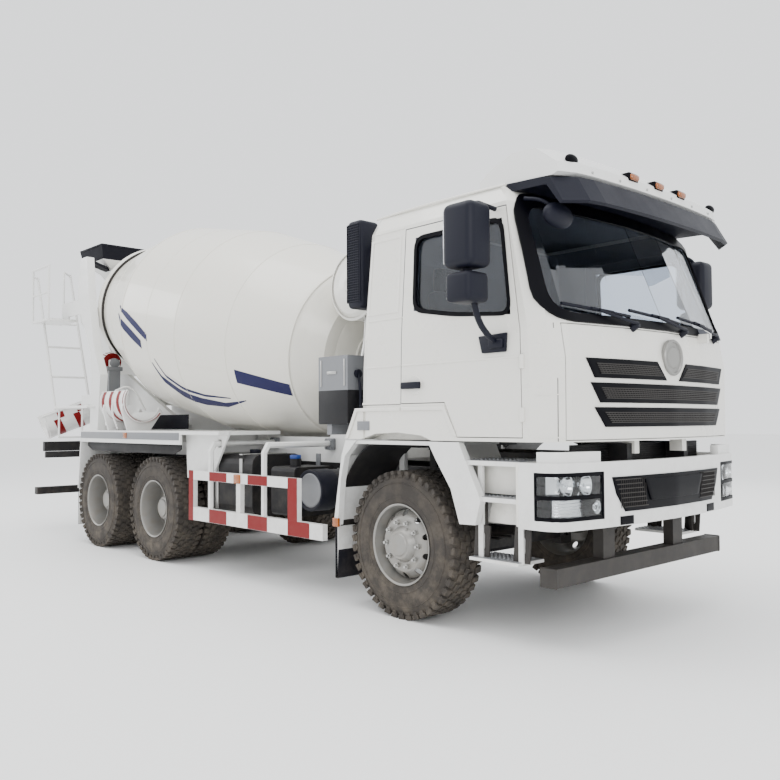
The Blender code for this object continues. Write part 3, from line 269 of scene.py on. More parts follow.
def round_bar(start, end, r, far_r=None, steps=24, bevel=0.0):
    """Cylinder or cone between two points."""
    start, end = Vector(start), Vector(end)
    run = end - start
    bpy.ops.mesh.primitive_cone_add(
        vertices=steps, radius1=r, radius2=r if far_r is None else far_r, depth=run.length,
        location=(start + end) / 2 + Vector((X0, 0, 0)),
        rotation=run.to_track_quat("Z", "Y").to_euler())
    bpy.ops.object.transform_apply(location=True, rotation=True, scale=True)
    return rounded(active(), bevel)


def from_points(points, faces, edges=()):
    """Mesh from points in the front axle's frame."""
    mesh = bpy.data.meshes.new("shape")
    mesh.from_pydata([(p[0] + X0, p[1], p[2]) for p in points], list(edges), list(faces))
    obj = bpy.data.objects.new("shape", mesh)
    bpy.context.scene.collection.objects.link(obj)
    return obj


def spun(profile, at, towards, steps=48):
    """Profile of (distance along the axis, radius) spun round the axis through at."""
    axis = Vector(towards).normalized()
    side = axis.orthogonal().normalized()
    points = [Vector(at) + axis * s + side * r for s, r in profile]
    obj = from_points(points, [], [(i, i + 1) for i in range(len(points) - 1)])
    pick(obj)
    bpy.ops.object.mode_set(mode="EDIT")
    bpy.ops.mesh.select_all(action="SELECT")
    bpy.ops.mesh.spin(steps=steps, angle=2 * math.pi, center=Vector(at) + Vector((X0, 0, 0)),
                      axis=axis)
    bpy.ops.mesh.select_all(action="SELECT")
    bpy.ops.mesh.remove_doubles(threshold=0.0001)
    bpy.ops.mesh.normals_make_consistent(inside=False)
    bpy.ops.object.mode_set(mode="OBJECT")
    return obj


def pipe(points, r, steps=3, closed=False, bend=True):
    """Round bar or hose through the points."""
    curve = bpy.data.curves.new("pipe", "CURVE")
    curve.dimensions = "3D"
    curve.bevel_depth = r
    curve.bevel_resolution = steps
    curve.use_fill_caps = True
    curve.resolution_u = 6 if bend else 1
    line = curve.splines.new("BEZIER" if bend else "POLY")
    knots = line.bezier_points if bend else line.points
    knots.add(len(points) - 1)
    for knot, point in zip(knots, points):
        place = (point[0] + X0, point[1], point[2])
        knot.co = place if bend else (*place, 1)
        if bend:
            knot.handle_left_type = knot.handle_right_type = "AUTO"
    line.use_cyclic_u = closed
    obj = bpy.data.objects.new("pipe", curve)
    bpy.context.scene.collection.objects.link(obj)
    pick(obj)
    bpy.ops.object.convert(target="MESH")
    return active()


def thick(obj, depth, offset=1.0):
    """Sheet given a thickness: outwards, inwards (-1) or both ways (0)."""
    shell = obj.modifiers.new("thickness", "SOLIDIFY")
    shell.thickness, shell.offset = depth, offset
    pick(obj)
    bpy.ops.object.modifier_apply(modifier=shell.name)
    return obj


def plate(axis, at, depth, outline, bevel=0.002):
    """Flat plate: the outline is in the other two axes, and at is where its near face lies."""
    place = {"x": lambda p, a: (a, p[0], p[1]), "y": lambda p, a: (p[0], a, p[1]),
             "z": lambda p, a: (p[0], p[1], a)}[axis]
    count = len(outline)
    points = [place(p, at) for p in outline] + [place(p, at + depth) for p in outline]
    faces = [list(range(count)), list(range(2 * count - 1, count - 1, -1))]
    faces += [[(i + 1) % count, i, i + count, (i + 1) % count + count] for i in range(count)]
    return rounded(upright(from_points(points, faces)), bevel)


def copies(obj, matrices):
    """Copies of obj at each matrix (about the front axle's frame) as one mesh."""
    shift = Matrix.Translation((X0, 0, 0))
    out = bmesh.new()
    for matrix in matrices:
        part = bmesh.new()
        part.from_mesh(obj.data)
        part.transform(shift @ matrix @ shift.inverted())
        if matrix.determinant() < 0:
            bmesh.ops.reverse_faces(part, faces=part.faces)
        mesh = bpy.data.meshes.new("copy")
        part.to_mesh(mesh)
        part.free()
        out.from_mesh(mesh)
        bpy.data.meshes.remove(mesh)
    out.to_mesh(obj.data)
    out.free()
    return obj


MIRROR = Matrix.Scale(-1, 4, (0, 1, 0))
PAIR = (Matrix.Identity(4), MIRROR)


def pair(obj):
    """The piece and its mirror image on the other side, as one mesh."""
    return copies(obj, PAIR)


def other_side(obj):
    """A separate mirrored copy of the piece."""
    twin = obj.copy()
    twin.data = obj.data.copy()
    bpy.context.scene.collection.objects.link(twin)
    return copies(twin, [MIRROR])


def about(axis, angle, at):
    """Turn round an axis through at."""
    place = Matrix.Translation(Vector(at))
    return place @ Matrix.Rotation(angle, 4, axis) @ place.inverted()


def done(name, parts, mat, body, angle=35):
    """Join parts into one named piece, paint it and fix it to its body."""
    bpy.ops.object.select_all(action="DESELECT")
    for part in parts:
        part.select_set(True)
    bpy.context.view_layer.objects.active = parts[0]
    if len(parts) > 1:
        bpy.ops.object.join()
    obj = active()
    obj.name = obj.data.name = name
    obj.data.materials.clear()
    obj.data.materials.append(mat)
    for face in obj.data.polygons:
        face.material_index = 0
    pick(obj)
    bpy.ops.object.shade_smooth_by_angle(angle=math.radians(angle))
    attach(obj, body)
    return obj


# Cab's faces: where the front is at (y, z), where the side is at z
FRONT = [(1.33, 1.50, 1.59, 1.22, 0.24), (1.87, 1.50, 1.59, 1.22, 0.23),
         (2.10, 1.46, 1.55, 1.22, 0.21), (2.92, 1.14, 1.22, 1.18, 0.08),
         (3.06, 1.05, 1.11, 1.11, 0.10)]
BUMPER = [(0, 1.59), (0.40, 1.575), (0.80, 1.535), (1.12, 1.48), (1.19, 1.44), (1.22, 1.38)]


def between(rows, at):
    """Straight-line reading of a table of (place, value)."""
    for (a, low), (b, high) in zip(rows, rows[1:]):
        if at <= b or (b, high) == rows[-1]:
            return low + (high - low) * (at - a) / (b - a)


def cab_front(y, z):
    """How far ahead the cab's bowed front lies at this place."""
    rows = []
    for height, side, centre, half, corner in FRONT:
        run = [(0, centre), (0.42 * half, centre - 0.35 * (centre - side)),
               (0.88 * half - 0.18, side), (half - 0.17, side - 0.14 * corner),
               (half - 0.06, side - 0.45 * corner), (half, side - corner)]
        rows.append((height, between(run, abs(y))))
    return between(rows, z)


def cab_side(x, z):
    return between([(row[0], row[3]) for row in FRONT], z)


def bumper_front(y, z):
    return between(BUMPER, abs(y))


def facing(points, faces):
    """The faces turned so that they look forwards."""
    a, b, c = (Vector(points[i]) for i in faces[0][:3])
    return [face[::-1] for face in faces] if (b - a).cross(c - b).x < 0 else faces


def on_front(surface, rows, depth, lift=0.0, columns=24, bevel=0.0):
    """Panel laid on a front surface. rows are (z, y from, y to); depth is how proud it stands."""
    points, faces = [], []
    for z, y_from, y_to in rows:
        for k in range(columns + 1):
            y = y_from + (y_to - y_from) * k / columns
            points.append((surface(y, z) + lift, y, z))
    width = columns + 1
    for row in range(len(rows) - 1):
        for k in range(columns):
            a = row * width + k
            faces.append((a, a + 1, a + width + 1, a + width))
    return rounded(upright(thick(from_points(points, facing(points, faces)), depth)), bevel, 1.0)


def arc_points(centre, r, start, end, count):
    return [(centre[0] + r * math.cos(math.radians(start + (end - start) * k / count)),
             centre[1] + r * math.sin(math.radians(start + (end - start) * k / count)))
            for k in range(count + 1)]


# ---- tyres --------------------------------------------------------------------------------------
# Worn road rubber with dust in the tread. Each is a spun carcass with block rows, lugs and
# sidewall rings turned round the axle, and stands for the plain wheel on its hub.
AXLES = {"front_wheel": 0.0, "rear_wheel_2": -3.75, "rear_wheel_3": -5.15}
CARCASS = [(-0.143, 0.302), (-0.152, 0.330), (-0.156, 0.40), (-0.150, 0.47), (-0.137, 0.515),
           (-0.118, 0.536), (-0.06, 0.540), (0.06, 0.540), (0.118, 0.536), (0.137, 0.515),
           (0.150, 0.47), (0.156, 0.40), (0.152, 0.330), (0.143, 0.302)]


def tyre(at):
    """Tyre with four rows of tread blocks, shoulder lugs and raised sidewall rings."""
    parts = [spun(CARCASS, at, (0, 1, 0), 64)]
    x, y, z = at
    rows = ((-0.125, 0.030, 0.0, 0.540), (-0.055, 0.026, 0.5, 0.541), (0.0, 0.022, 0.0, 0.542),
            (0.055, 0.026, 0.5, 0.541), (0.125, 0.030, 0.0, 0.540))
    for offset, half, step, r in rows:
        block = box((x - 0.026, x + 0.026), (y + offset - half, y + offset + half),
                    (z + r - 0.02, z + 0.550), 0.003, 1)
        turn = Matrix.Rotation(0.25 * (1 if offset > 0 else -1), 4, "Z")
        place = Matrix.Translation(Vector((x, y + offset, 0)))
        copies(block, [about("Y", 2 * math.pi * (k + step) / 44, at)
                       @ place @ turn @ place.inverted() for k in range(44)])
        parts.append(block)
    for side in (-1, 1):
        lug = box((x - 0.020, x + 0.020), (y + side * 0.118, y + side * 0.149),
                  (z + 0.498, z + 0.535), 0.003, 1)
        copies(lug, [about("Y", 2 * math.pi * k / 44, at) for k in range(44)])
        ring = spun([(side * 0.153, 0.345), (side * 0.1575, 0.352), (side * 0.153, 0.359)],
                    at, (0, 1, 0), 64)
        rib = spun([(side * 0.152, 0.455), (side * 0.1565, 0.460), (side * 0.150, 0.465)],
                   at, (0, 1, 0), 64)
        parts += [lug, ring, rib]
    return parts


for name, x in AXLES.items():
    for side, sign in BOTH:
        middles = [1.00] if x == 0 else [1.08, 0.74]
        rubber = [part for y in middles for part in tyre((x, sign * y, 0.55))]
        piece = done(f"tyres_{name}_{side}", rubber, TYRE, f"{name}_{side}", 30)
        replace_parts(piece, f"{name}_{side}")


# ---- wheels -------------------------------------------------------------------------------------
# Pressed steel discs in silver wheel paint, spun and then cut with ten hand holes.
# Ten zinc nuts on their studs hold each to its hub.
FRONT_DISC = [(-0.143, 0.298), (-0.15, 0.304), (-0.12, 0.288), (-0.05, 0.268), (0.04, 0.262),
              (0.070, 0.256), (0.085, 0.242), (0.112, 0.215), (0.122, 0.200), (0.122, 0.135),
              (0.130, 0.130), (0.158, 0.112), (0.166, 0.104), (0.166, 0.085), (0.174, 0.078),
              (0.176, 0.0)]
FRONT_RIM = [(0.143, 0.298), (0.152, 0.304), (0.154, 0.298), (0.146, 0.288), (0.110, 0.280),
             (0.070, 0.262), (0.050, 0.262)]
REAR_RIM = [(0.143, 0.298), (0.152, 0.304), (0.154, 0.298), (0.146, 0.288), (0.09, 0.276),
            (0.0, 0.268), (-0.07, 0.262), (-0.143, 0.298)]
REAR_DISC = [(-0.06, 0.264), (-0.085, 0.255), (-0.097, 0.238), (-0.100, 0.215), (-0.096, 0.135),
             (-0.07, 0.128), (-0.02, 0.122), (0.015, 0.118), (0.030, 0.112), (0.036, 0.09),
             (0.048, 0.085), (0.050, 0.0)]


def wheel_disc(at, sign, disc, hole_s, hole_r):
    """Disc with ten hand holes cut through it."""
    flat = thick(spun(disc, at, (0, sign, 0), 60), 0.006, -1.0)
    x, y, z = at
    cutter = round_bar((x, y + sign * (hole_s - 0.05), z + hole_r),
                       (x, y + sign * (hole_s + 0.05), z + hole_r), 0.024, steps=16)
    copies(cutter, [about("Y", 2 * math.pi * k / 10, at) for k in range(10)])
    return cut_out(flat, cutter)


def studs(at, sign, s, r, length):
    """Ten wheel nuts with their stud ends."""
    x, y, z = at
    nut = round_bar((x, y + sign * s, z + r), (x, y + sign * (s + 0.020), z + r), 0.019,
                    steps=6)
    end = round_bar((x, y + sign * s, z + r), (x, y + sign * (s + length), z + r), 0.011,
                    steps=10)
    turns = [about("Y", 2 * math.pi * (k + 0.5) / 10, at) for k in range(10)]
    return [copies(nut, turns), copies(end, turns)]


for name, x in AXLES.items():
    for side, sign in BOTH:
        at = (x, sign * (1.00 if x == 0 else 1.08), 0.55)
        body = f"{name}_{side}"
        if x == 0:
            metal = [wheel_disc(at, sign, FRONT_DISC, 0.095, 0.232),
                     thick(spun(FRONT_RIM, at, (0, sign, 0), 60), 0.005, -1.0)]
            nuts = studs(at, sign, 0.122, 0.1675, 0.040)
        else:
            inner = (x, sign * 0.74, 0.55)
            metal = [wheel_disc(at, sign, REAR_DISC, -0.098, 0.216),
                     thick(spun(REAR_RIM, at, (0, sign, 0), 60), 0.005, -1.0),
                     thick(spun(REAR_RIM, inner, (0, sign, 0), 40), 0.005, -1.0),
                     spun([(0.13, 0.0), (0.13, 0.25), (0.0, 0.262)], inner, (0, sign, 0), 40)]
            nuts = studs(at, sign, -0.098, 0.1675, 0.036)
        done(f"rims_{body}", metal, RIM, body, 30)
        done(f"nuts_{body}", nuts, ZINC, body, 30)


# ---- windscreen gasket --------------------------------------------------------------------------
# Wide black rubber band with rounded corners, laid on the cab's bowed front
# and lapping over the edge of the glass.
def outline(low, high, bottom, top, radius, straight=12, turn=6):
    """Rounded four-sided outline in y and z: low and high are its half widths."""
    corners = [Vector(p) for p in ((-low, bottom), (low, bottom), (high, top), (-high, top))]
    arcs = []
    for k, at in enumerate(corners):
        a = (corners[k - 1] - at).normalized()
        b = (corners[(k + 1) % 4] - at).normalized()
        half = a.angle(b) / 2
        start, end = (at + d * radius / math.tan(half) for d in (a, b))
        arcs.append([start.lerp(at, t).lerp(at.lerp(end, t), t)
                     for t in (i / turn for i in range(turn + 1))])
    points = []
    for k, arc in enumerate(arcs):
        start, end = arc[-1], arcs[(k + 1) % 4][0]
        points += arc + [start.lerp(end, i / straight) for i in range(1, straight)]
    return points


def band(surface, inner, outer, depth, lift=0.0):
    """Ring between two outlines, laid on a surface."""
    count = len(inner)
    points = [(surface(p[0], p[1]) + lift, p[0], p[1]) for p in (*inner, *outer)]
    faces = [(i, (i + 1) % count, (i + 1) % count + count, i + count) for i in range(count)]
    return thick(from_points(points, facing(points, faces)), depth)


gasket = upright(band(cab_front, outline(1.118, 1.078, 2.152, 2.885, 0.15),
                      outline(1.196, 1.155, 2.094, 2.99, 0.21), 0.014, 0.001))
done("windscreen_gasket", [gasket], GLOSS, "cab")


# ---- wipers -------------------------------------------------------------------------------------
# Three black plastic arms and blades, bent pipes on turned pivots, parked along the foot
# of the glass.
wipers = []
for y in (-0.42, 0.22, 0.86):
    z = 2.085
    wipers.append(round_bar((cab_front(y, z) - 0.02, y, z), (cab_front(y, z) + 0.045, y, z + 0.03),
                            0.034, 0.024, bevel=0.006))
    arm = [(cab_front(y, z) + 0.045, y, z + 0.03), (cab_front(y - 0.1, 2.14) + 0.055, y - 0.1, 2.13),
           (cab_front(y - 0.34, 2.2) + 0.05, y - 0.34, 2.185)]
    wipers.append(pipe(arm, 0.010))
    blade = [(cab_front(y - d, 2.165 + 0.075 * d) + 0.022, y - d, 2.165 + 0.075 * d)
             for d in (0.02, 0.2, 0.4, 0.64)]
    wipers.append(pipe(blade, 0.011))
    wipers.append(pipe([(p[0] + 0.014, p[1], p[2] + 0.002) for p in blade[1:3]], 0.009))
done("wipers", wipers, PLASTIC, "cab")


# ---- fascia -------------------------------------------------------------------------------------
# Three black grille bands with raised bars over them and a plain round disc in silver paint,
# all laid on the lid's curve and opening with it.
grille, mesh_strips = [], []
for z, (high_y, low_y), (top_y, bottom_y) in (
        ((1.868, 1.741), (0.200, 0.085), (0.933, 0.856)),
        ((1.711, 1.581), (0.0, 0.0), (0.894, 0.807)),
        ((1.552, 1.423), (0.0, 0.0), (0.862, 0.762))):
    halves = ((1, high_y, low_y), (-1, high_y, low_y)) if high_y else ((0, 0, 0),)
    for sign, in_top, in_low in halves:
        if sign:
            rows = [(z[0], sign * in_top, sign * top_y), (z[1], sign * in_low, sign * bottom_y)]
            core = [(z[0] - 0.035, sign * (in_top + 0.01), sign * (top_y - 0.09)),
                    (z[1] + 0.03, sign * (in_low + 0.05), sign * (bottom_y - 0.05))]
        else:
            rows = [(z[0], -top_y, top_y), (z[1], -bottom_y, bottom_y)]
            core = [(z[0] - 0.035, 0.09 - top_y, top_y - 0.09),
                    (z[1] + 0.03, 0.05 - bottom_y, bottom_y - 0.05)]
        grille.append(on_front(cab_front, rows, 0.010, -0.001, bevel=0.003))
        top, low = core
        for k in range(6):
            t = k / 5
            ends = [top[i] + (low[i] - top[i]) * t for i in range(3)]
            mesh_strips.append(on_front(cab_front, [(ends[0] + 0.0035, ends[1], ends[2]),
                                                    (ends[0] - 0.0035, ends[1], ends[2])],
                                        0.005, 0.009))
        count = int(abs(top[2] - top[1]) / 0.028)
        for k in range(1, count):
            y = top[1] + (top[2] - top[1]) * k / count
            y_low = low[1] + (low[2] - low[1]) * k / count
            mesh_strips.append(on_front(cab_front, [(top[0], y - 0.0025, y + 0.0025),
                                                    (low[0], y_low - 0.0025, y_low + 0.0025)],
                                        0.004, 0.009, columns=1))
done("grille_bands", grille, GLOSS, "lid")
done("grille_mesh", mesh_strips, STEEL, "lid")
badge_x = cab_front(0, 1.905)
badge = spun([(-0.01, 0.128), (0.012, 0.128), (0.020, 0.122), (0.020, 0.108), (0.010, 0.103),
              (0.008, 0.080), (0.016, 0.070), (0.018, 0.0)], (badge_x, 0, 1.905), (1, 0, 0), 64)
done("plain_badge", [badge], RIM, "lid", 25)


# ---- cab pressings ------------------------------------------------------------------------------
# Ridges, frames and shut lines of the pressed steel cab in its own cream paint,
# as shallow strips on the quarters, arches and corners.
ridges, belts = [], []
y = cab_side(0, 1.878)
belts.append(box((0.10, 1.19), (y - 0.01, y + 0.005), (1.870, 1.886), 0.004, 3))
for z, x0, x1 in ((1.878, -0.30, 0.085), (1.602, -0.34, 0.085), (2.235, -0.27, 0.10),
                  (2.905, -0.22, 0.10)):
    y = cab_side(x0, z)
    ridges.append(box((x0, x1), (y - 0.01, y + 0.005), (z - 0.008, z + 0.008), 0.004, 3))
quarter = [(-0.285, 2.275), (0.065, 2.275), (0.075, 2.86), (-0.255, 2.86)]
ring_in = [(-0.262, 2.298), (0.045, 2.298), (0.052, 2.838), (-0.235, 2.838)]
points = [(p[0], cab_side(*p) + 0.0005, p[1]) for p in (*quarter, *ring_in)]
frame_ring = thick(from_points(points, [(i, (i + 1) % 4, (i + 1) % 4 + 4, i + 4)
                                        for i in range(4)]), 0.008, 0.0)
ridges.append(eased(upright(frame_ring), 0.003, 2))
for z in (1.36, 1.63):
    ridges.append(on_front(cab_front, [(z + 0.004, 1.09, 1.205), (z - 0.004, 1.09, 1.205)],
                           0.004, columns=10))
line = box((-0.385, 0.085), (1.2185, 1.2215), (1.590, 1.594), 0.0005, 1)
done("quarter_seams", [pair(line)], BLACK, "cab")
done("cab_pressings", [pair(part) for part in ridges], CREAM, "cab")
arch_trim = plate("y", 1.2195, 0.012, [(-0.543, 1.335), (-0.421, 1.57), (0.085, 1.573),
                                       (0.085, 1.545), (-0.40, 1.545), (-0.51, 1.335)], 0.003)
arch_door = plate("y", 1.2215, 0.010, [(0.098, 1.545), (0.098, 1.573), (0.529, 1.573),
                                       (0.645, 1.365), (0.612, 1.365), (0.512, 1.545)], 0.003)
done("arch_lip_rear", [pair(arch_trim)], CREAM, "cab")
small_plate = plate("y", 1.2205, 0.006, [(-0.40, 1.40), (-0.26, 1.40), (-0.26, 1.47),
                                         (-0.40, 1.47)], 0.001)
done("blank_side_plates", [pair(small_plate)], GREY, "cab")
seam = on_front(cab_front, [(z, 1.125, 1.129) for z in (2.085, 1.72, 1.335)], 0.0015, columns=1)
done("corner_seams", [pair(seam)], BLACK, "cab")


# ---- doors --------------------------------------------------------------------------------------
# Black window rubbers, bar handles over shallow dishes and twin-housing wing mirrors with two
# glasses each. The pieces are made for the left and mirrored, and swing with their doors.
WINDOW = [(0.22, 2.27), (0.62, 2.20), (1.120, 2.156), (1.030, 2.81), (0.22, 2.81)]


def curved(points, by, steps=5):
    """Closed outline with its corners turned into curves."""
    out = []
    for k, corner in enumerate(points):
        at = Vector(corner)
        a, b = Vector(points[k - 1]) - at, Vector(points[(k + 1) % len(points)]) - at
        start, end = (at + d.normalized() * min(by, d.length * 0.45) for d in (a, b))
        out += [tuple(start.lerp(at, t).lerp(at.lerp(end, t), t))
                for t in (i / steps for i in range(steps + 1))]
    return out


def side_band(points_in, points_out, depth):
    """Ring between two outlines, on the door's side."""
    count = len(points_in)
    points = [(p[0], cab_side(*p) - 0.010, p[1]) for p in (*points_in, *points_out)]
    faces = [(i, (i + 1) % count, (i + 1) % count + count, i + count) for i in range(count)]
    return upright(thick(from_points(points, faces), depth, 0.0))


def grown(points, by):
    """Outline moved outwards, or inwards where by is negative."""
    middle = sum((Vector(p) for p in points), Vector((0, 0))) / len(points)
    return [tuple(Vector(p) + Vector([by * math.copysign(1, c) for c in Vector(p) - middle]))
            for p in points]


rubber = side_band(curved(grown(WINDOW, -0.018), 0.08), curved(grown(WINDOW, 0.010), 0.10), 0.030)
handle = [box((0.11, 0.31), (1.229, 1.250), (1.702, 1.752), 0.009, 3),
          box((0.12, 0.145), (1.218, 1.238), (1.706, 1.748), 0.004),
          box((0.275, 0.30), (1.218, 1.238), (1.706, 1.748), 0.004)]
housing = [box((0.875, 1.13), (1.395, 1.612), (2.435, 2.85), 0.050, 5),
           box((0.90, 1.105), (1.40, 1.608), (2.215, 2.408), 0.035, 4),
           box((0.985, 1.02), (1.47, 1.53), (2.39, 2.45), 0.008),
           pipe([(1.01, 1.235, 1.98), (1.015, 1.33, 2.03), (1.02, 1.42, 2.12), (1.02, 1.47, 2.26)],
                0.021),
           pipe([(1.03, 1.46, 2.83), (1.01, 1.42, 2.868), (0.99, 1.32, 2.878),
                 (0.985, 1.20, 2.872)], 0.016),
           plate("y", 1.2203, 0.022, [(0.86, 2.03), (0.89, 1.915), (1.09, 1.915), (1.10, 2.04)],
                 0.006),
           box((0.96, 1.08), (1.235, 1.262), (1.94, 2.0), 0.010, 3)]
glasses = [box((0.868, 0.880), (1.425, 1.582), (2.47, 2.815), 0.004, 2),
           box((0.893, 0.905), (1.425, 1.582), (2.24, 2.385), 0.004, 2)]
rubber_right = other_side(rubber)
done("window_rubber_left", [rubber], GLOSS, "door_left")
done("window_rubber_right", [rubber_right], GLOSS, "door_right")
for name, parts, mat, slot in (("door_handle", handle, PLASTIC, "black_plastic"),
                               ("arch_lip_door", [arch_door, *belts], CREAM, "cream_paint"),
                               ("handle_dish", [spun([(-0.004, 0.072), (0.006, 0.068),
                                                      (0.004, 0.060), (-0.001, 0.0)],
                                                     (0.235, 1.22, 1.727), (0, 1, 0), 40)],
                                CREAM, "cream_paint"),
                               ("wing_mirror", housing, PLASTIC, "black_plastic"),
                               ("mirror_glass", glasses, CHROME, "window_glass")):
    twins = [other_side(part) for part in parts]
    left = done(f"{name}_left", parts, mat, "door_left")
    right_piece = done(f"{name}_right", twins, mat, "door_right")
    if name == "wing_mirror":
        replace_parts(left, "mirror_left")
        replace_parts(right_piece, "mirror_right")


# ---- roof header --------------------------------------------------------------------------------
# Three amber lamps on black feet, two oval markers, zinc screws and drip rails,
# set on the header's bowed face.
HEAD_FRONT = [(3.06, 1.515), (3.13, 1.50), (3.25, 1.34)]


def header_front(y, z):
    """The roof header's bowed face."""
    t = y / 1.08
    return between(HEAD_FRONT, z) - 0.06 * t * t - 0.05 * (max(0, abs(t) - 0.8) / 0.2) ** 2


ambers, lamp_feet = [], []
for y in (-0.33, 0.0, 0.33):
    x = header_front(y, 3.14)
    lamp_feet.append(box((x - 0.05, x + 0.022), (y - 0.060, y + 0.060), (3.112, 3.172), 0.008, 3))
    ambers.append(box((x - 0.03, x + 0.040), (y - 0.050, y + 0.050), (3.120, 3.162), 0.014, 4))
ovals = []
for y in (-0.95, 0.95):
    x = header_front(y, 3.14)
    ovals.append(egg((x - 0.012, y, 3.155), (0.028, 0.062, 0.034)))
screws = [round_bar((header_front(y, 3.085) - 0.005, y, 3.085),
                    (header_front(y, 3.085) + 0.006, y, 3.085), 0.009, steps=12)
          for y in (-0.8, -0.5, -0.17, 0.17, 0.5, 0.8)]
done("roof_lamps", ambers, AMBER, "cab")
done("roof_lamp_feet", lamp_feet, GLOSS, "cab")
done("roof_oval_markers", ovals, GLOSS, "cab")
done("header_screws", screws, ZINC, "cab")
gutter = pipe([(1.02, 1.128, 3.045), (0.6, 1.128, 3.052), (0.1, 1.128, 3.052),
               (-0.27, 1.12, 3.045)], 0.009)
done("roof_gutters", [pair(gutter)], CREAM, "cab")


# ---- blind-spot mirror --------------------------------------------------------------------------
# Black almond-shaped housing on a short bent arm at the screen's upper
# right corner.
almond = egg((1.33, -0.98, 2.80), (0.060, 0.145, 0.085))
stem = pipe([(1.33, -1.0, 2.84), (1.26, -1.06, 2.90), (1.15, -1.10, 2.93)], 0.013)
done("blind_spot_mirror", [almond, stem], PLASTIC, "cab")


# ---- air intake ---------------------------------------------------------------------------------
# Navy-black moulded box with rows of ribs and a duct down the cab's back.
# It stands on two stays and tilts with the cab.
snorkel = [box((-0.615, -0.445), (-1.145, -0.935), (2.375, 3.085), 0.035, 4),
           box((-0.555, -0.465), (-0.995, -0.905), (1.455, 2.40), 0.02, 3),
           box((-0.49, -0.385), (-1.0, -0.95), (2.50, 2.56), 0.004),
           box((-0.49, -0.355), (-1.0, -0.95), (2.84, 2.90), 0.004)]
rib = box((-0.600, -0.460), (-1.152, -0.93), (2.425, 2.434), 0.002, 1)
snorkel.append(copies(rib, [Matrix.Translation((0, 0, 0.02 * k)) for k in range(32)]))
slat = box((-0.612, -0.606), (-1.15, -0.932), (2.42, 3.05), 0.002, 1)
snorkel.append(copies(slat, [Matrix.Translation((0.022 * k, 0, 0)) for k in range(8)]))
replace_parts(done("ribbed_intake", snorkel, PLASTIC, "cab"), "intake_snorkel")


# ---- cab inside ---------------------------------------------------------------------------------
# Padded seats and bunk in woven cloth, made as subdivided boxes with full edges,
# with plastic plinths and console, a gear lever and grey lining boards.
def cushion(x, y, z, roll, levels=2):
    """Pad with crowned faces and full rounded edges."""
    pad = box(x, y, z, roll, 3)
    soft = pad.modifiers.new("soft", "SUBSURF")
    soft.levels = soft.render_levels = levels
    pick(pad)
    bpy.ops.object.modifier_apply(modifier=soft.name)
    return pad


for side, sign in BOTH:
    y = (sign * 0.29, sign * 0.77)
    y = (min(y), max(y))
    base = cushion((0.06, 0.60), y, (1.70, 1.865), 0.05)
    back = cushion((-0.03, 0.10), y, (1.84, 2.50), 0.05)
    copies(back, [about("Y", -0.12, (0.03, 0, 1.84))])
    head = cushion((-0.13, -0.03), (sign * 0.53 - 0.14, sign * 0.53 + 0.14), (2.50, 2.70), 0.04)
    for part, label in ((base, "seat_base"), (back, "seat_back"), (head, "headrest")):
        pad = done(f"{label}_{side}", [part], CLOTH, "cab", 60)
        if label == "seat_base":
            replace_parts(pad, f"seat_{side}")
    plinth = [box((0.08, 0.54), (sign * 0.53 - 0.20, sign * 0.53 + 0.20), (1.392, 1.71), 0.02),
              round_bar((-0.07, sign * 0.53 - 0.06, 2.44), (-0.085, sign * 0.53 - 0.06, 2.56),
                        0.007, steps=10),
              round_bar((-0.07, sign * 0.53 + 0.06, 2.44), (-0.085, sign * 0.53 + 0.06, 2.56),
                        0.007, steps=10)]
    done(f"seat_plinth_{side}", plinth, PLASTIC, "cab")
mattress = cushion((-0.335, -0.185), (-1.08, 1.08), (1.60, 1.78), 0.04)
bunk = done("bunk_mattress", [mattress], CLOTH, "cab", 60)
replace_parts(bunk, "bunk")
console = [box((0.62, 1.05), (-0.16, 0.16), (1.392, 1.60), 0.03, 3),
           round_bar((0.72, 0.0, 1.58), (0.66, 0.0, 1.88), 0.011),
           box((-0.34, -0.19), (-1.08, 1.08), (1.392, 1.60), 0.01),
           box((1.02, 1.16), (0.30, 0.74), (2.05, 2.145), 0.03, 4)]
done("cab_console", console, PLASTIC, "cab")
done("gear_knob", [egg((0.66, 0, 1.90), (0.03, 0.03, 0.03), 20, 12)], GLOSS, "cab")
lining = [box((-0.30, -0.285), (-1.0, 1.0), (1.85, 2.80), 0.004),
          box((-0.18, 0.90), (-0.92, 0.92), (3.035, 3.05), 0.004)]
done("cab_lining", lining, LINING, "cab")


# ---- bumper -------------------------------------------------------------------------------------
# Lamp clusters wrap round its corners: black bezels, bright bowls and clear covers follow one
# plan line. Between them lie a black panel with wire mesh, tow slots and the radiator screen.
LAMP_LINE = [(1.533, 0.815), (1.506, 0.97), (1.480, 1.12), (1.458, 1.165), (1.420, 1.200),
             (1.370, 1.217), (1.300, 1.219)]


def wrapped(low, high, depth, inset=0.0, ends=(0, None)):
    """Upright strip that follows the bumper round its corner, inset behind its face."""
    line = [Vector(p) for p in LAMP_LINE[slice(*ends)]]
    inner, outer = [], []
    for k, at in enumerate(line):
        along = (line[min(k + 1, len(line) - 1)] - line[max(k - 1, 0)]).normalized()
        inward = Vector((-along.y, along.x))
        outer.append(tuple(at + inward * inset))
        inner.append(tuple(at + inward * (inset + depth)))
    return plate("z", low, high - low, outer + inner[::-1], 0.001)


def both_ways(parts, sign):
    """Left parts as they are, or turned into their mirror images for the right."""
    return parts if sign > 0 else [copies(part, [MIRROR]) for part in parts]


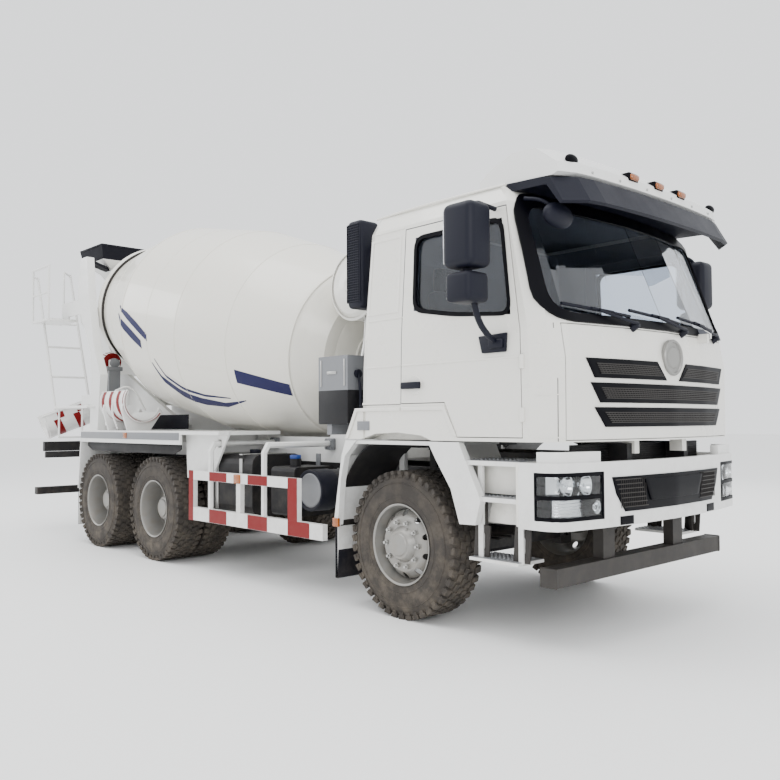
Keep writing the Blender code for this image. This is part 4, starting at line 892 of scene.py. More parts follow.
for side, sign in BOTH:
    bars = [wrapped(low, high, 0.058, -0.002) for low, high in
            ((0.838, 0.862), (0.972, 0.998), (1.116, 1.140))]
    bars += [wrapped(0.838, 1.140, 0.006, 0.066), box((1.47, 1.537), (0.806, 0.826), (0.838, 1.140)),
             box((1.29, 1.305), (1.150, 1.221), (0.838, 1.140))]
    done(f"lamp_bezel_{side}", both_ways(bars, sign), GLOSS, "truck")
    bowls, bulbs = [], []
    for y, z, r, back in ((1.10, 1.057, 0.060, 0.070), (0.955, 1.057, 0.060, 0.055),
                          (0.865, 0.916, 0.036, 0.050)):
        at = (bumper_front(y, z) - back, y, z)
        bowls.append(thick(spun([(0.0, 0.012), (0.006, r * 0.5), (0.022, r * 0.82), (0.038, r),
                                 (0.040, r + 0.006)], at, (1, 0, 0), 40), 0.002, 0.0))
        bulbs.append(spun([(0.0, 0.0), (0.004, 0.010), (0.024, 0.011), (0.032, 0.0)], at,
                          (1, 0, 0), 16))
    bowls.append(wrapped(0.866, 0.968, 0.004, 0.045, (1, 5)))
    bowls.append(wrapped(1.002, 1.112, 0.003, 0.058, (1, None)))
    rung = wrapped(0.870, 0.876, 0.004, 0.040, (1, 5))
    bowls.append(copies(rung, [Matrix.Translation((0, 0, 0.016 * k)) for k in range(6)]))
    done(f"lamp_reflectors_{side}", both_ways(bowls, sign), CHROME, "truck")
    done(f"lamp_bulbs_{side}", both_ways(bulbs, sign), LENS, "truck")
    lens = [wrapped(low, high, 0.003, 0.004) for low, high in ((0.862, 0.972), (0.998, 1.116))]
    cover = done(f"lamp_covers_{side}", both_ways(lens, sign), LENS, "truck")
    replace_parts(cover, f"headlamp_{side}")
corner = box((1.165, 1.292), (1.180, 1.2195), (0.838, 1.142), 0.003)
cap = wrapped(1.196, 1.268, 0.060, 0.018)
done("bumper_corners", [pair(corner), pair(cap)], WHITE, "truck")
panel = [on_front(bumper_front, [(1.10, -0.73, 0.73), (0.99, -0.69, 0.69), (0.87, -0.60, 0.60)],
                  0.008, 0.0, columns=30, bevel=0.003),
         on_front(bumper_front, [(1.075, -0.40, 0.40), (0.93, -0.33, 0.33)], 0.012, 0.006,
                  columns=20, bevel=0.004)]
panel += [on_front(bumper_front, [(0.842, s * 0.51, s * 0.65), (0.785, s * 0.51, s * 0.65)], 0.004,
                   columns=6, bevel=0.002) for s in (1, -1)]
done("bumper_black_panel", panel, GLOSS, "truck")
wires = []
for s in (1, -1):
    for k in range(7):
        z = 0.90 + 0.03 * k
        end = 0.60 + 0.5 * (z - 0.87)
        start = 0.34 + 0.45 * (z - 0.93) + 0.03
        wires.append(on_front(bumper_front, [(z + 0.003, s * start, s * end),
                                             (z - 0.003, s * start, s * end)], 0.004, 0.008,
                              columns=8))
    for k in range(14):
        y = 0.385 + 0.02 * k
        wires.append(on_front(bumper_front, [(1.085 if y < 0.66 else 1.06, s * y, s * (y + 0.003)),
                                             (0.895, s * y, s * (y + 0.003))], 0.004, 0.008,
                              columns=1))
done("bumper_mesh", wires, STEEL, "truck")
radiator = [box((1.305, 1.32), (-0.86, 0.86), (1.10, 1.305), 0.004)]
fin = box((1.318, 1.326), (-0.86, 0.86), (1.115, 1.119), 0.001, 1)
radiator.append(copies(fin, [Matrix.Translation((0, 0, 0.016 * k)) for k in range(12)]))
done("radiator_screen", radiator, BLACK, "truck")
ends = [box((1.245, 1.375), (s * 1.10 - 0.014, s * 1.10 + 0.014), (0.405, 0.535), 0.012, 3)
        for s in (1, -1)]
done("beam_end_caps", ends, STEEL, "truck")


# ---- drum ---------------------------------------------------------------------------------------
# Cream enamelled shell spun from its rolled courses, with raised welds and painted navy bands.
# The bands lie 2 mm proud and repeat on the far side.
TILT_ANGLE = math.radians(11.5)
BACK = Vector((-math.cos(TILT_ANGLE), 0, math.sin(TILT_ANGLE)))
ABOVE = Vector((math.sin(TILT_ANGLE), 0, math.cos(TILT_ANGLE)))
DRUM_AT = Vector((-3.46, 0, 2.50))
COURSES = [(-1.93, 0.30), (-1.90, 0.50), (-1.84, 0.66), (-1.69, 0.86), (-0.85, 1.04),
           (0.0, 1.15), (1.31, 1.15), (2.56, 0.815)]
MOUTH = [(2.56, 0.815), (2.56, 0.845), (2.68, 0.845), (2.68, 0.785), (3.22, 0.62)]


def softened(profile, by):
    """Profile with its corners turned into short curves."""
    out = [profile[0]]
    for before, at, after in zip(profile, profile[1:], profile[2:]):
        at = Vector(at)
        a, b = Vector(before) - at, Vector(after) - at
        start = at + a.normalized() * min(by, a.length * 0.4)
        end = at + b.normalized() * min(by, b.length * 0.4)
        out += [tuple(start.lerp(at, t).lerp(at.lerp(end, t), t)) for t in (0, 0.25, 0.5, 0.75, 1)]
    return out + [profile[-1]]


inside = [(s, r - 0.012) for s, r in reversed(MOUTH[3:])] + [(2.5, 0.815)]
inside += [(s, r - 0.012) for s, r in reversed(COURSES[3:-1])] + [(-1.90, 0.6), (-1.915, 0.0)]
shell = spun([(-1.96, 0.0), (-1.96, 0.24), (-1.94, 0.245), *softened(COURSES, 0.06), *MOUTH[1:],
              *inside], DRUM_AT, BACK, 128)
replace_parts(done("drum_shell", [shell], DRUM, "drum", 22), "drum")
seams = []
for s in (-1.69, -0.85, 0.0, 0.66, 1.31, 1.94):
    r = between(COURSES, s)
    seams.append(spun([(s - 0.007, r - 0.004), (s - 0.004, r + 0.003), (s + 0.004, r + 0.003),
                       (s + 0.007, r - 0.004)], DRUM_AT, BACK, 96))
for angle, s0, s1 in ((40, -1.69, -0.85), (200, -0.85, 0.0), (95, 0.0, 0.66), (250, 0.66, 1.31),
                      (20, 1.31, 1.94), (160, 1.94, 2.5)):
    ends = [DRUM_AT + BACK * s + (Vector((0, math.cos(math.radians(angle)), 0))
                                  + ABOVE * math.sin(math.radians(angle))) * between(COURSES, s)
            for s in (s0, s1)]
    seams.append(round_bar(ends[0], ends[1], 0.004, steps=6))
done("drum_welds", seams, DRUM, "drum", 50)
groove = spun([(2.552, 0.80), (2.552, 0.8455), (2.572, 0.8455), (2.572, 0.80)], DRUM_AT, BACK, 128)
done("drum_raceway_edge", [groove], STEEL, "drum")


def drum_stripe(path, steps=28):
    """Painted stripe on the drum: path is (s, degrees below the side, half width)."""
    rows = []
    for k in range(steps + 1):
        t = k / steps * (len(path) - 1)
        i = min(int(t), len(path) - 2)
        at = [path[i][c] + (path[i + 1][c] - path[i][c]) * (t - i) for c in range(3)]
        rows.append(at)
    points, faces = [], []
    for s, angle, half in rows:
        for edge in (-1, -0.33, 0.33, 1):
            a = math.radians(angle) + edge * half / 1.1
            r = between(COURSES, s) + 0.0022
            points.append(DRUM_AT + BACK * s + r * (Vector((0, -math.cos(a), 0))
                                                    - ABOVE * math.sin(a)))
    for row in range(steps):
        for k in range(3):
            a = row * 4 + k
            faces.append((a, a + 1, a + 5, a + 4))
    return thick(from_points(points, faces), 0.0012, 0.0)


stripes = [drum_stripe([(-1.67, 28, 0.078), (-1.30, 25, 0.078), (-0.96, 22.5, 0.078)]),
           drum_stripe([(0.62, 25, 0.010), (0.50, 34.5, 0.042), (0.20, 41, 0.056), (-0.20, 44, 0.050),
                        (-0.60, 44, 0.032), (-0.98, 38.5, 0.005)], 50),
           drum_stripe([(0.53, 22, 0.006), (0.38, 31.5, 0.018), (0.10, 36.2, 0.020),
                        (-0.30, 39, 0.015), (-0.75, 38, 0.005)], 50),
           drum_stripe([(1.45, 1, 0.010), (1.25, 6.5, 0.045), (1.00, 11.5, 0.052),
                        (0.80, 15.5, 0.046)]),
           drum_stripe([(1.42, -4, 0.010), (1.15, 0.6, 0.036), (0.90, 5.2, 0.042),
                        (0.64, 10.5, 0.038)])]
opposite = about(BACK, math.pi, DRUM_AT)
done("drum_stripes", [copies(stripe, [Matrix.Identity(4), opposite]) for stripe in stripes],
     NAVY, "drum", 60)


# ---- drum rollers and drive ---------------------------------------------------------------------
# Red rollers in grey bearing blocks under the raceway, and the gearbox's
# ribs, bolts, motor and black hoses at the drum's front end.
centre = DRUM_AT + BACK * 2.62
reach = 0.845 + 0.006 + 0.13
low = math.radians(40)
rollers, bearings = [], []
for sign in (1, -1):
    at = centre + reach * (Vector((0, sign * math.sin(low), 0)) - ABOVE * math.cos(low))
    rollers.append(spun([(-0.062, 0.0), (-0.062, 0.085), (-0.052, 0.090), (-0.052, 0.129),
                         (0.052, 0.129), (0.052, 0.090), (0.062, 0.085), (0.062, 0.0)], at, BACK,
                        40))
    for s in (-0.12, 0.12):
        spot = at + BACK * s
        bearings.append(spun([(-0.03, 0.0), (-0.03, 0.055), (-0.02, 0.070), (0.02, 0.070),
                              (0.03, 0.055), (0.03, 0.0)], spot, BACK, 28))
        bearings.append(box((spot.x - 0.03, spot.x + 0.03), (spot.y - 0.11, spot.y + 0.11),
                            (spot.z - 0.10, spot.z - 0.045), 0.008))
        bearings.append(box((spot.x - 0.02, spot.x + 0.02), (spot.y - 0.08, spot.y + 0.08),
                            (1.835, spot.z - 0.09), 0.004))
done("drum_rollers", rollers, RED, "truck")
done("roller_bearings", bearings, GREY, "truck")
front_end = DRUM_AT + BACK * -1.96
drive = []
for s in (-0.13, -0.18, -0.23, -0.28):
    drive.append(spun([(s - 0.006, 0.24), (s - 0.006, 0.262), (s + 0.006, 0.262),
                       (s + 0.006, 0.24)], front_end, BACK, 40))
bolt = round_bar(front_end + BACK * -0.115 + ABOVE * 0.225, front_end + BACK * -0.095 + ABOVE * 0.225,
                 0.013, steps=6)
copies(bolt, [about(BACK, 2 * math.pi * k / 14, front_end) for k in range(14)])
motor = round_bar(front_end + BACK * -0.50, front_end + BACK * -0.62, 0.10, bevel=0.01)
done("gearbox_ribs", drive + [bolt, motor], GREY, "truck")
hoses = [pipe([(-1.12, s * 0.06, 2.02), (-0.98, s * 0.08, 1.9), (-0.92, s * 0.15, 1.5),
               (-1.0, s * 0.2, 1.2)], 0.018) for s in (-1, 1)]
hoses.append(pipe([(-1.0, -0.75, 1.50), (-1.10, -0.6, 1.65), (-1.3, -0.42, 1.60),
                   (-1.6, -0.40, 1.42)], 0.016))
done("drive_hoses", hoses, BLACK, "truck", 60)


# ---- water tank ---------------------------------------------------------------------------------
# Cream end rims, zinc straps, filler and gauge pipe, spun round the tank's axis
# or bent along it.
TANK = (-1.17, 0, 2.70)
tank_bits = [spun([(s * 0.575, 0.312), (s * 0.585, 0.322), (s * 0.60, 0.322), (s * 0.61, 0.300)],
                  TANK, (0, 1, 0), 64) for s in (1, -1)]
tank_bits += [spun([(s * 0.655, 0.0), (s * 0.668, 0.03), (s * 0.668, 0.06), (s * 0.655, 0.075)],
                   TANK, (0, 1, 0), 32) for s in (1, -1)]
straps = [spun([(s * 0.39 - 0.025, 0.314), (s * 0.39 - 0.025, 0.319), (s * 0.39 + 0.025, 0.319),
                (s * 0.39 + 0.025, 0.314)], TANK, (0, 1, 0), 64) for s in (1, -1)]
filler = [round_bar((-1.17, 0.1, 2.99), (-1.17, 0.1, 3.05), 0.06, bevel=0.006),
          pipe([(-1.05, -0.55, 2.45), (-1.02, -0.6, 2.2), (-0.95, -0.7, 2.02)], 0.014),
          round_bar((-1.0, -0.3, 2.98), (-1.0, -0.3, 3.03), 0.03)]
done("tank_rims", tank_bits, CREAM, "truck")
done("tank_straps", straps + filler, ZINC, "truck")


# ---- valve box ----------------------------------------------------------------------------------
# Dark lower half on the grey box, with black valves and hoses on its front face and
# bright latches on its side.
box_foot = [box((-1.024, -0.636), (-1.124, -0.676), (1.446, 1.73), 0.012)]
valves = [round_bar((-0.64, y, z), (-0.61, y, z), 0.035, steps=20, bevel=0.004)
          for y, z in ((-1.02, 1.86), (-0.92, 1.80), (-0.80, 1.90), (-0.95, 1.62))]
valves += [pipe([(-0.62, -1.02, 1.86), (-0.585, -1.03, 1.7), (-0.60, -1.04, 1.5),
                 (-0.70, -1.04, 1.40)], 0.012),
           pipe([(-0.62, -0.92, 1.80), (-0.585, -0.92, 1.6), (-0.62, -0.90, 1.42)], 0.012),
           pipe([(-0.62, -0.80, 1.90), (-0.575, -0.78, 1.7), (-0.64, -0.76, 1.44)], 0.012)]
latch = [box((-0.90, -0.78), (-1.128, -1.118), (1.86, 1.885), 0.003),
         box((-0.99, -0.975), (-1.127, -1.118), (1.76, 1.98), 0.003),
         box((-0.685, -0.67), (-1.127, -1.118), (1.76, 1.98), 0.003)]
done("valve_box_foot", box_foot, BLACK, "truck")
done("valve_hoses", valves, PLASTIC, "truck")
done("valve_box_latches", latch, ZINC, "truck")


# ---- side tanks ---------------------------------------------------------------------------------
# Zinc straps over the tanks, black and coloured plastic caps, and the round canister's
# grey lid in its black ring.
straps = []
for x in (-2.70, -2.27):
    straps.append(box((x - 0.025, x + 0.025), (-1.086, -0.56), (1.155, 1.166), 0.002))
    straps.append(box((x - 0.025, x + 0.025), (-1.087, -1.077), (0.62, 1.12), 0.002))
for x in (-1.60, -1.20):
    straps.append(box((x - 0.02, x + 0.02), (1.045, 1.055), (0.67, 1.075), 0.002))
for x in (-2.75, -2.40, -2.15):
    straps.append(spun([(-0.015, 0.141), (-0.015, 0.145), (0.015, 0.145), (0.015, 0.141)],
                       (x, 0.72, 0.80), (1, 0, 0), 40))
done("tank_bands", straps, ZINC, "truck")
caps = [round_bar((-2.45, -0.80, 1.16), (-2.45, -0.80, 1.20), 0.055, bevel=0.006),
        spun([(-0.172, 0.150), (-0.18, 0.165), (-0.18, 0.178), (-0.165, 0.182), (0.02, 0.182),
              (0.02, 0.174)], (-1.256, -0.86, 0.873), (0, 1, 0), 48)]
done("tank_caps", caps, PLASTIC, "truck")
disc = spun([(-0.165, 0.0), (-0.172, 0.05), (-0.168, 0.10), (-0.176, 0.14), (-0.168, 0.155)],
            (-1.256, -0.86, 0.873), (0, 1, 0), 48)
done("canister_lid", [disc], GREY, "truck")
done("additive_cap", [round_bar((-1.70, -0.86, 1.13), (-1.70, -0.86, 1.165), 0.052, bevel=0.006)],
     BLUE, "truck")
done("step_cap", [round_bar((0.74, -0.95, 0.958), (0.74, -0.95, 0.985), 0.03, bevel=0.004)],
     YELLOW, "truck")


# ---- side guards --------------------------------------------------------------------------------
# Red painted lengths on the white rails and posts, amber marker lamps and the hoops'
# bolted grey feet.
stripes = [box((x, x + 0.31), (1.2295, 1.2325), z, 0.0005, 1) for x in (-2.60, -1.93)
           for z in ((0.502, 0.628), (0.902, 0.988))]
stripes += [box((-2.992, -2.908), (1.2295, 1.2328), (0.495, 0.992), 0.0005, 1),
            box((-1.31, -1.178), (1.2295, 1.2328), (0.628, 0.992), 0.0005, 1),
            box((-1.31, -1.008), (1.2297, 1.2332), (0.502, 0.628), 0.0005, 1)]
done("guard_stripes", [pair(part) for part in stripes], RED, "truck")
ambers = [box((-2.15, -2.05), (1.222, 1.246), (0.90, 0.985), 0.008, 3),
          box((-4.49, -4.41), (1.216, 1.236), (1.295, 1.36), 0.006, 3),
          box((-0.705, -0.635), (1.205, 1.232), (0.63, 0.70), 0.008, 3)]
done("side_markers", [pair(part) for part in ambers], AMBER, "truck")
feet = [box((x - 0.06, x + 0.06), (0.432, 0.47), (1.20, 1.31), 0.006) for x in (-2.61, -1.70)]
feet += [round_bar((x + dx, 0.47, z), (x + dx, 0.48, z), 0.013, steps=6)
         for x in (-2.61, -1.70) for dx in (-0.04, 0.04) for z in (1.22, 1.29)]
done("hoop_feet", [pair(part) for part in feet], GREY, "truck")


# ---- rear fenders -------------------------------------------------------------------------------
# Grey edge strip over a black inner panel, and ribbed rubber faces on the mud flaps
# front and rear.
edge = box((-5.69, -3.22), (1.2205, 1.226), (1.285, 1.362), 0.002)
done("fender_edge_strips", [pair(edge)], GREY, "truck")
under = plate("y", 1.150, 0.012, [(-5.62, 1.24), (-3.28, 1.24), (-3.28, 1.19), (-3.42, 1.135),
                                  (-5.48, 1.135), (-5.62, 1.19)], 0.002)
done("fender_black_panels", [pair(under)], BLACK, "truck")
flap_ribs = []
for x, z0, z1, y0, y1 in ((-5.800, 0.25, 0.66, 0.62, 1.18), (-0.722, 0.24, 0.62, 0.64, 1.16)):
    rib = box((x - 0.006, x + 0.002), (y0, y1), (z0, z0 + 0.010), 0.002, 1)
    flap_ribs.append(copies(rib, [Matrix.Translation((0, 0, 0.03 * k))
                                  for k in range(int((z1 - z0) / 0.03))]))
flap_ribs.append(box((-5.812, -5.79), (0.60, 1.20), (0.205, 0.70), 0.004))
flap_ribs.append(box((-0.732, -0.695), (0.62, 1.18), (0.212, 0.66), 0.004))
done("mud_flaps", [pair(part) for part in flap_ribs], RUBBER, "truck")


# ---- front steps --------------------------------------------------------------------------------
# Studded grey treads, steel brackets with oval holes cut through them, cream well panels
# and a dark plastic liner arched over the wheel.
treads = [box((0.665, 1.155), (0.725, 1.195), (1.1995, 1.203), 0.001),
          box((0.705, 1.155), (0.865, 1.195), (0.9595, 0.963), 0.001),
          box((0.725, 1.135), (0.925, 1.185), (0.5495, 0.553), 0.001)]
for x0, x1, y0, y1, z in ((0.70, 1.13, 0.90, 1.18, 1.203), (0.73, 1.13, 0.90, 1.18, 0.963),
                          (0.75, 1.12, 0.95, 1.17, 0.553)):
    tooth = round_bar((x0, y0, z), (x0, y0, z + 0.006), 0.011, 0.007, steps=8)
    spots = [Matrix.Translation((0.036 * i, 0.042 * k, 0)) for i in range(int((x1 - x0) / 0.036))
             for k in range(int((y1 - y0) / 0.042))]
    treads.append(copies(tooth, spots))
done("step_treads", [pair(part) for part in treads], GREY, "truck")
brackets = []
for x in (0.79, 1.13):
    side_plate = plate("y", 1.128, 0.012, [(x - 0.075, 0.545), (x + 0.06, 0.545),
                                           (x + 0.075, 0.76), (x - 0.055, 0.78)], 0.003)
    slot = box((x - 0.028, x + 0.028), (1.10, 1.16), (0.60, 0.72), 0.026, 4)
    brackets.append(cut_out(side_plate, slot))
    brackets.append(box((x - 0.018, x + 0.018), (1.09, 1.13), (0.55, 0.95), 0.004))
done("step_brackets", [pair(part) for part in brackets], STEEL, "truck")
well = [plate("y", 0.766, 0.006, [(0.70, 0.97), (1.145, 0.97), (1.145, 1.165), (0.68, 1.165)],
              0.002),
        box((1.145, 1.168), (0.76, 1.215), (0.79, 1.192), 0.003),
        plate("y", 1.075, 0.008, [(0.72, 0.975), (1.145, 0.975), (1.145, 1.165), (0.69, 1.165)],
              0.002),
        plate("y", 1.075, 0.008, [(0.80, 0.78), (1.145, 0.78), (1.145, 0.925), (0.84, 0.925)],
              0.002)]
done("step_well_panels", [pair(part) for part in well], CREAM, "truck")
arc = arc_points((-0.02, 0.70), 0.672, 14, 186, 24)
points = [(x, y, z) for x, z in arc for y in (0.64, 1.155)]
faces = [(2 * k, 2 * k + 1, 2 * k + 3, 2 * k + 2) for k in range(24)]
liner = thick(from_points([(x, y, min(z, 1.291)) for x, y, z in points], faces), 0.006, 0.0)
done("wheel_arch_liners", [pair(upright(liner))], BLACK, "truck", 60)


# ---- chutes -------------------------------------------------------------------------------------
# Red diagonal stripes, hoops and side bars drawn on the flat and taken to the chute's slope.
# They turn with it, while the spare troughs' stripes and hoops stay on the truck.
HEAD, SLOPE = math.radians(-102), math.radians(21)
CHUTE = (Matrix.Translation((-7.05, 0, 1.90)) @ Matrix.Rotation(HEAD, 4, "Z")
         @ Matrix.Rotation(SLOPE, 4, "Y"))


def along_chute(obj):
    """Piece drawn on the flat, x down the chute, taken to the chute's slope."""
    return copies(obj, [CHUTE])


stripes = []
for k in range(4):
    x = 0.10 + 0.27 * k
    points, faces = [], []
    for i in range(15):
        a = math.radians(180 + 180 * i / 14)
        skew = 0.10 * i / 14
        for dx in (0.0, 0.09):
            points.append((x + dx + skew, 0.2315 * math.cos(a), 0.2315 * math.sin(a)))
    faces = [(2 * i, 2 * i + 1, 2 * i + 3, 2 * i + 2) for i in range(14)]
    stripes.append(along_chute(thick(from_points(points, faces), 0.0015, 0.0)))
    for s in (1, -1):
        stripes.append(along_chute(box((x + 0.03, x + 0.12), (s * 0.2305 - 0.001, s * 0.2305 + 0.001),
                                       (0.003, 0.098), 0.0003, 1)))
done("chute_stripes", stripes, RED, "chute")
fittings = []
for x in (-0.16, 0.50, 1.19):
    arc = [(x, 0.230 * math.cos(math.radians(a)), 0.230 * math.sin(math.radians(a)))
           for a in range(180, 361, 12)]
    fittings.append(along_chute(pipe([(x, -0.230, 0.09), *arc, (x, 0.230, 0.09)], 0.007,
                                     bend=False)))
for s in (1, -1):
    fittings.append(along_chute(pipe([(-0.18, s * 0.231, 0.10), (1.22, s * 0.231, 0.10)], 0.012,
                                     bend=False)))
fittings.append(along_chute(pipe([(1.05, -0.24, 0.05), (1.12, -0.30, 0.06), (1.19, -0.24, 0.05)],
                                 0.010)))
done("chute_rims", fittings, WHITE, "chute", 60)
boss = box((-7.10, -7.00), (-0.045, 0.045), (1.500, 1.528), 0.006)
done("swivel_boss", [boss], GREY, "chute_swivel")

SPARE = (-0.865, 1.72)
arc_bands = []
for x in (-5.36, -5.16, -4.96, -4.79):
    points = []
    for k in range(17):
        a = math.radians(148 + (326 - 148) * k / 16)
        for dx in (0.0, 0.07):
            points.append((x + dx + 0.03 * k / 16, SPARE[0] + 0.2425 * math.cos(a),
                           SPARE[1] + 0.2425 * math.sin(a)))
    faces = [(2 * k, 2 * k + 1, 2 * k + 3, 2 * k + 2) for k in range(16)]
    arc_bands.append(thick(from_points(points, faces), 0.0015, 0.0))
done("spare_trough_stripes", arc_bands, RED, "truck", 60)
hoops = [pipe([(x, SPARE[0] + 0.244 * math.cos(math.radians(a)),
                SPARE[1] + 0.244 * math.sin(math.radians(a))) for a in range(146, 329, 14)],
              0.011, bend=False) for x in (-5.385, -4.735)]
hoops += [pipe([(-5.05, -1.065, 1.86), (-5.05, -0.90, 1.90), (-5.05, -0.68, 1.62)], 0.012),
          pipe([(-5.05, -1.04, 1.40), (-5.05, -1.11, 1.62), (-5.05, -1.065, 1.86)], 0.012)]
done("spare_trough_fittings", hoops, WHITE, "truck", 60)


# ---- hopper -------------------------------------------------------------------------------------
# Dull rubber curb round the mouth and white steel plates that narrow to the drum,
# lofted through three rectangles.
rim_path = [(-7.19, 0.55), (-7.10, 0.63), (-6.56, 0.63), (-6.47, 0.55), (-6.47, -0.55),
            (-6.56, -0.63), (-7.10, -0.63), (-7.19, -0.55)]
rim = pipe([(x, y, 3.925) for x, y in rim_path], 0.015, closed=True, bend=False)
ribs = [box((-7.17, -6.49), (y - 0.008, y + 0.008), (3.738, 3.752), 0.003) for y in (-0.61, 0.61)]
done("hopper_curb", [rim] + ribs, RUBBER, "truck", 60)
levels = [((-6.855, -6.595), 0.225, 3.30), ((-7.025, -6.615), 0.405, 3.60),
          ((-7.165, -6.495), 0.605, 3.735)]
points = [p for (rear, fore), y, z in levels
          for p in ((rear, y, z), (rear, -y, z), (fore, -y, z), (fore, y, z))]
faces = [(4 * r + k, 4 * r + (k + 1) % 4, 4 * r + 4 + (k + 1) % 4, 4 * r + 4 + k)
         for r in range(2) for k in range(4)]
cone = upright(thick(from_points(points, faces), 0.004, 0.0))
done("hopper_plates", [cone], WHITE, "truck")


# ---- rear ---------------------------------------------------------------------------------------
# Red and amber lamps on the black beam, red slanted stripes on the under-run bar, the platform's
# studded tread, and thin black rubber sheets that paint in the shade of the gap between the drum and
# the fenders.
tails = [box((-7.0245, -7.018), (y, y + 0.16), (1.115, 1.195), 0.006, 3) for y in (0.92, 0.74)]
done("tail_lamps", [pair(part) for part in tails], TAIL, "truck")
flashers = [box((-7.0245, -7.018), (1.09, 1.18), (1.115, 1.195), 0.006, 3)]
done("rear_flashers", [pair(part) for part in flashers], AMBER, "truck")
layer = [box((-7.01, -6.955), (-1.18, 1.18), (1.0, 1.085), 0.006),
         box((-7.026, -7.016), (-0.28, 0.28), (1.10, 1.205), 0.003)]
done("lamp_beam_layer", layer, BLACK, "truck")
stripes = []
for k in range(6):
    y = -1.16 + 0.41 * k
    stripes.append(plate("x", -7.3625, 0.002, [(y, 0.487), (y + 0.16, 0.487), (y + 0.24, 0.581),
                                               (y + 0.08, 0.581)], 0))
done("underrun_stripes", stripes, RED, "truck")
tread = [box((-7.33, -6.77), (-1.235, -0.865), (2.889, 2.893), 0.001)]
stud = box((-7.31, -7.28), (-1.22, -1.212), (2.892, 2.898), 0.002, 1)
tread.append(copies(stud, [Matrix.Translation((0.055 * i, 0.045 * k, 0)) for i in range(10)
                           for k in range(8)]))
done("platform_tread", tread, ZINC, "truck")
# Painted shade: thin black sheets fill the gap between the drum's underside and the fenders, standing
# in for the shade that falls there.
shade_sheet = box((-5.42, -4.35), (0.475, 0.49), (1.39, 1.565), 0.004)
done("shade_gap_sheets", [pair(shade_sheet)], RUBBER, "truck")


# ---- chassis ------------------------------------------------------------------------------------
# Leaf springs, shafts and brake chambers in dark steel, with rows of zinc bolts, air lines
# and the engine's cast ribs between the rails.
springs = []
for k in range(5):
    half, z = 0.80 - 0.11 * k, 0.585 - 0.014 * k
    bow = [(-half, 0.372, z + 0.11 * (half / 0.8) ** 2), (-half / 2, 0.372, z + 0.03),
           (0, 0.372, z), (half / 2, 0.372, z + 0.03), (half, 0.372, z + 0.11 * (half / 0.8) ** 2)]
    points = [(x, y + dy, zz) for x, y, zz in bow for dy in (0.0, 0.06)]
    faces = [(2 * i, 2 * i + 1, 2 * i + 3, 2 * i + 2) for i in range(4)]
    springs.append(upright(thick(from_points(points, faces), 0.010, 0.0)))
for x in (-0.05, 0.05):
    springs.append(pipe([(x, 0.355, 0.68), (x, 0.355, 0.45), (x, 0.44, 0.45), (x, 0.44, 0.68)],
                        0.010, bend=False))
done("front_springs", [pair(part) for part in springs], STEEL, "truck")
shaft = [round_bar((-1.40, 0, 0.85), (-3.50, 0, 0.62), 0.055, steps=20),
         round_bar((-3.98, 0, 0.60), (-4.90, 0, 0.60), 0.05, steps=20)]
for x, z in ((-1.42, 0.85), (-3.48, 0.622)):
    shaft.append(round_bar((x - 0.03, 0, z), (x + 0.03, 0, z), 0.085, steps=16, bevel=0.006))
done("drive_shafts", shaft, STEEL, "truck")
chambers = []
for x in (-3.75, -5.15):
    chambers.append(round_bar((x + 0.14, 0.42, 0.66), (x + 0.30, 0.42, 0.66), 0.085, bevel=0.02))
    chambers.append(round_bar((x + 0.20, 0.42, 0.66), (x + 0.215, 0.42, 0.66), 0.095,
                              bevel=0.004))
done("brake_chambers", [pair(part) for part in chambers], BLACK, "truck")
bolt = round_bar((-6.70, 0.4325, 0.86), (-6.70, 0.440, 0.86), 0.013, steps=6)
rows = [Matrix.Translation((0.30 * k, 0, dz)) for k in range(26) for dz in (0.0, 0.16)]
done("frame_bolts", [pair(copies(bolt, rows))], ZINC, "truck")
lines = [pipe([(1.0, 0.30, 1.02), (-2.0, 0.31, 1.0), (-6.5, 0.30, 1.0)], 0.010, bend=False),
         pipe([(1.0, 0.27, 0.98), (-2.0, 0.28, 0.95), (-6.5, 0.27, 0.95)], 0.008, bend=False)]
done("air_lines", [pair(part) for part in lines], PLASTIC, "truck", 60)
fins = [box((x, x + 0.012), (-0.345, 0.345), (0.76, 1.19), 0.003, 1)
        for x in (-0.40, -0.22, 0.36, 0.54, 0.72, 0.90)]
sump = [box((-0.35, 0.95), (-0.25, 0.25), (0.68, 0.74), 0.03, 3),
        round_bar((1.10, 0, 0.95), (1.17, 0, 0.95), 0.24, steps=32, bevel=0.01)]
done("engine_ribs", fins + sump, CAST, "truck")
clamps = [box((x - 0.03, x + 0.03), (0.432, 0.447), (1.02, 1.16), 0.003)
          for x in (-1.9, -2.9, -4.1, -5.3, -6.3)]
done("subframe_clamps", [pair(part) for part in clamps], GREY, "truck")


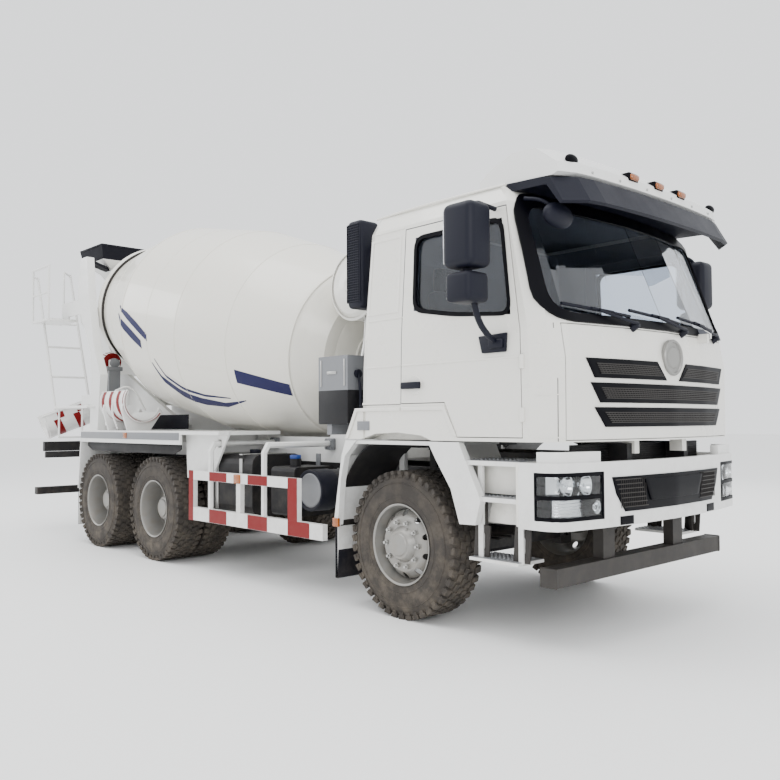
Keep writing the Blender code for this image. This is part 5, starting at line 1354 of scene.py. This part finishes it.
# ---- room and camera ----------------------------------------------------------------------------
# Pale floor, soft even light from four panels and a long-lens view from the front
# right corner.
FLOOR = bpy.data.materials.new("pale_floor")
FLOOR.use_nodes = True
FLOOR.node_tree.nodes["Principled BSDF"].inputs["Base Color"].default_value = rgb("f4f4f3")
FLOOR.node_tree.nodes["Principled BSDF"].inputs["Roughness"].default_value = 0.6
bpy.ops.mesh.primitive_plane_add(size=160, location=(0, 0, 0))
floor = active()
floor.name = "floor"
floor.data.materials.append(FLOOR)

world = bpy.data.worlds.new("studio")
bpy.context.scene.world = world
world.use_nodes = True
world.node_tree.nodes["Background"].inputs["Color"].default_value = rgb("f6f8fa")
world.node_tree.nodes["Background"].inputs["Strength"].default_value = 1.75


def lamp(name, place, look_at, size, watts, shines=True):
    """Rectangular soft light; shines is whether it is mirrored in glass."""
    data = bpy.data.lights.new(name, "AREA")
    data.shape, data.size, data.size_y, data.energy = "RECTANGLE", size[0], size[1], watts
    obj = bpy.data.objects.new(name, data)
    bpy.context.scene.collection.objects.link(obj)
    obj.location = place
    obj.rotation_euler = (Vector(look_at) - Vector(place)).to_track_quat("-Z", "Y").to_euler()
    obj.visible_glossy = shines
    return obj


lamp("sky_panel", (1, -3, 12), (0, 0, 1), (14, 8), 1150)
lamp("front_panel", (14, -9, 6), (3, 0, 2), (6, 4), 520)
lamp("rear_panel", (-13, -8, 7), (-3, 0, 2), (6, 4), 350)
lamp("far_panel", (0, 12, 8), (0, 0, 2), (12, 5), 380, shines=False)

AZ, TILT, ROLL = (math.radians(a) for a in (47.116, 2.200, -0.317))
ahead = Vector((-math.sin(AZ) * math.cos(TILT), math.cos(AZ) * math.cos(TILT), math.sin(TILT)))
right = Vector((math.cos(AZ), math.sin(AZ), 0))
up = right.cross(ahead)
across = right * math.cos(ROLL) + up * math.sin(ROLL)
upward = -right * math.sin(ROLL) + up * math.cos(ROLL)
camera = bpy.data.objects.new("camera", bpy.data.cameras.new("camera"))
bpy.context.scene.collection.objects.link(camera)
turn = Matrix((across, upward, -ahead)).transposed().to_4x4()
turn.translation = (4.490 + X0, -5.416, 1.465)
camera.matrix_world = turn
camera.data.sensor_width = 36
camera.data.lens = 38.137
bpy.context.scene.camera = camera
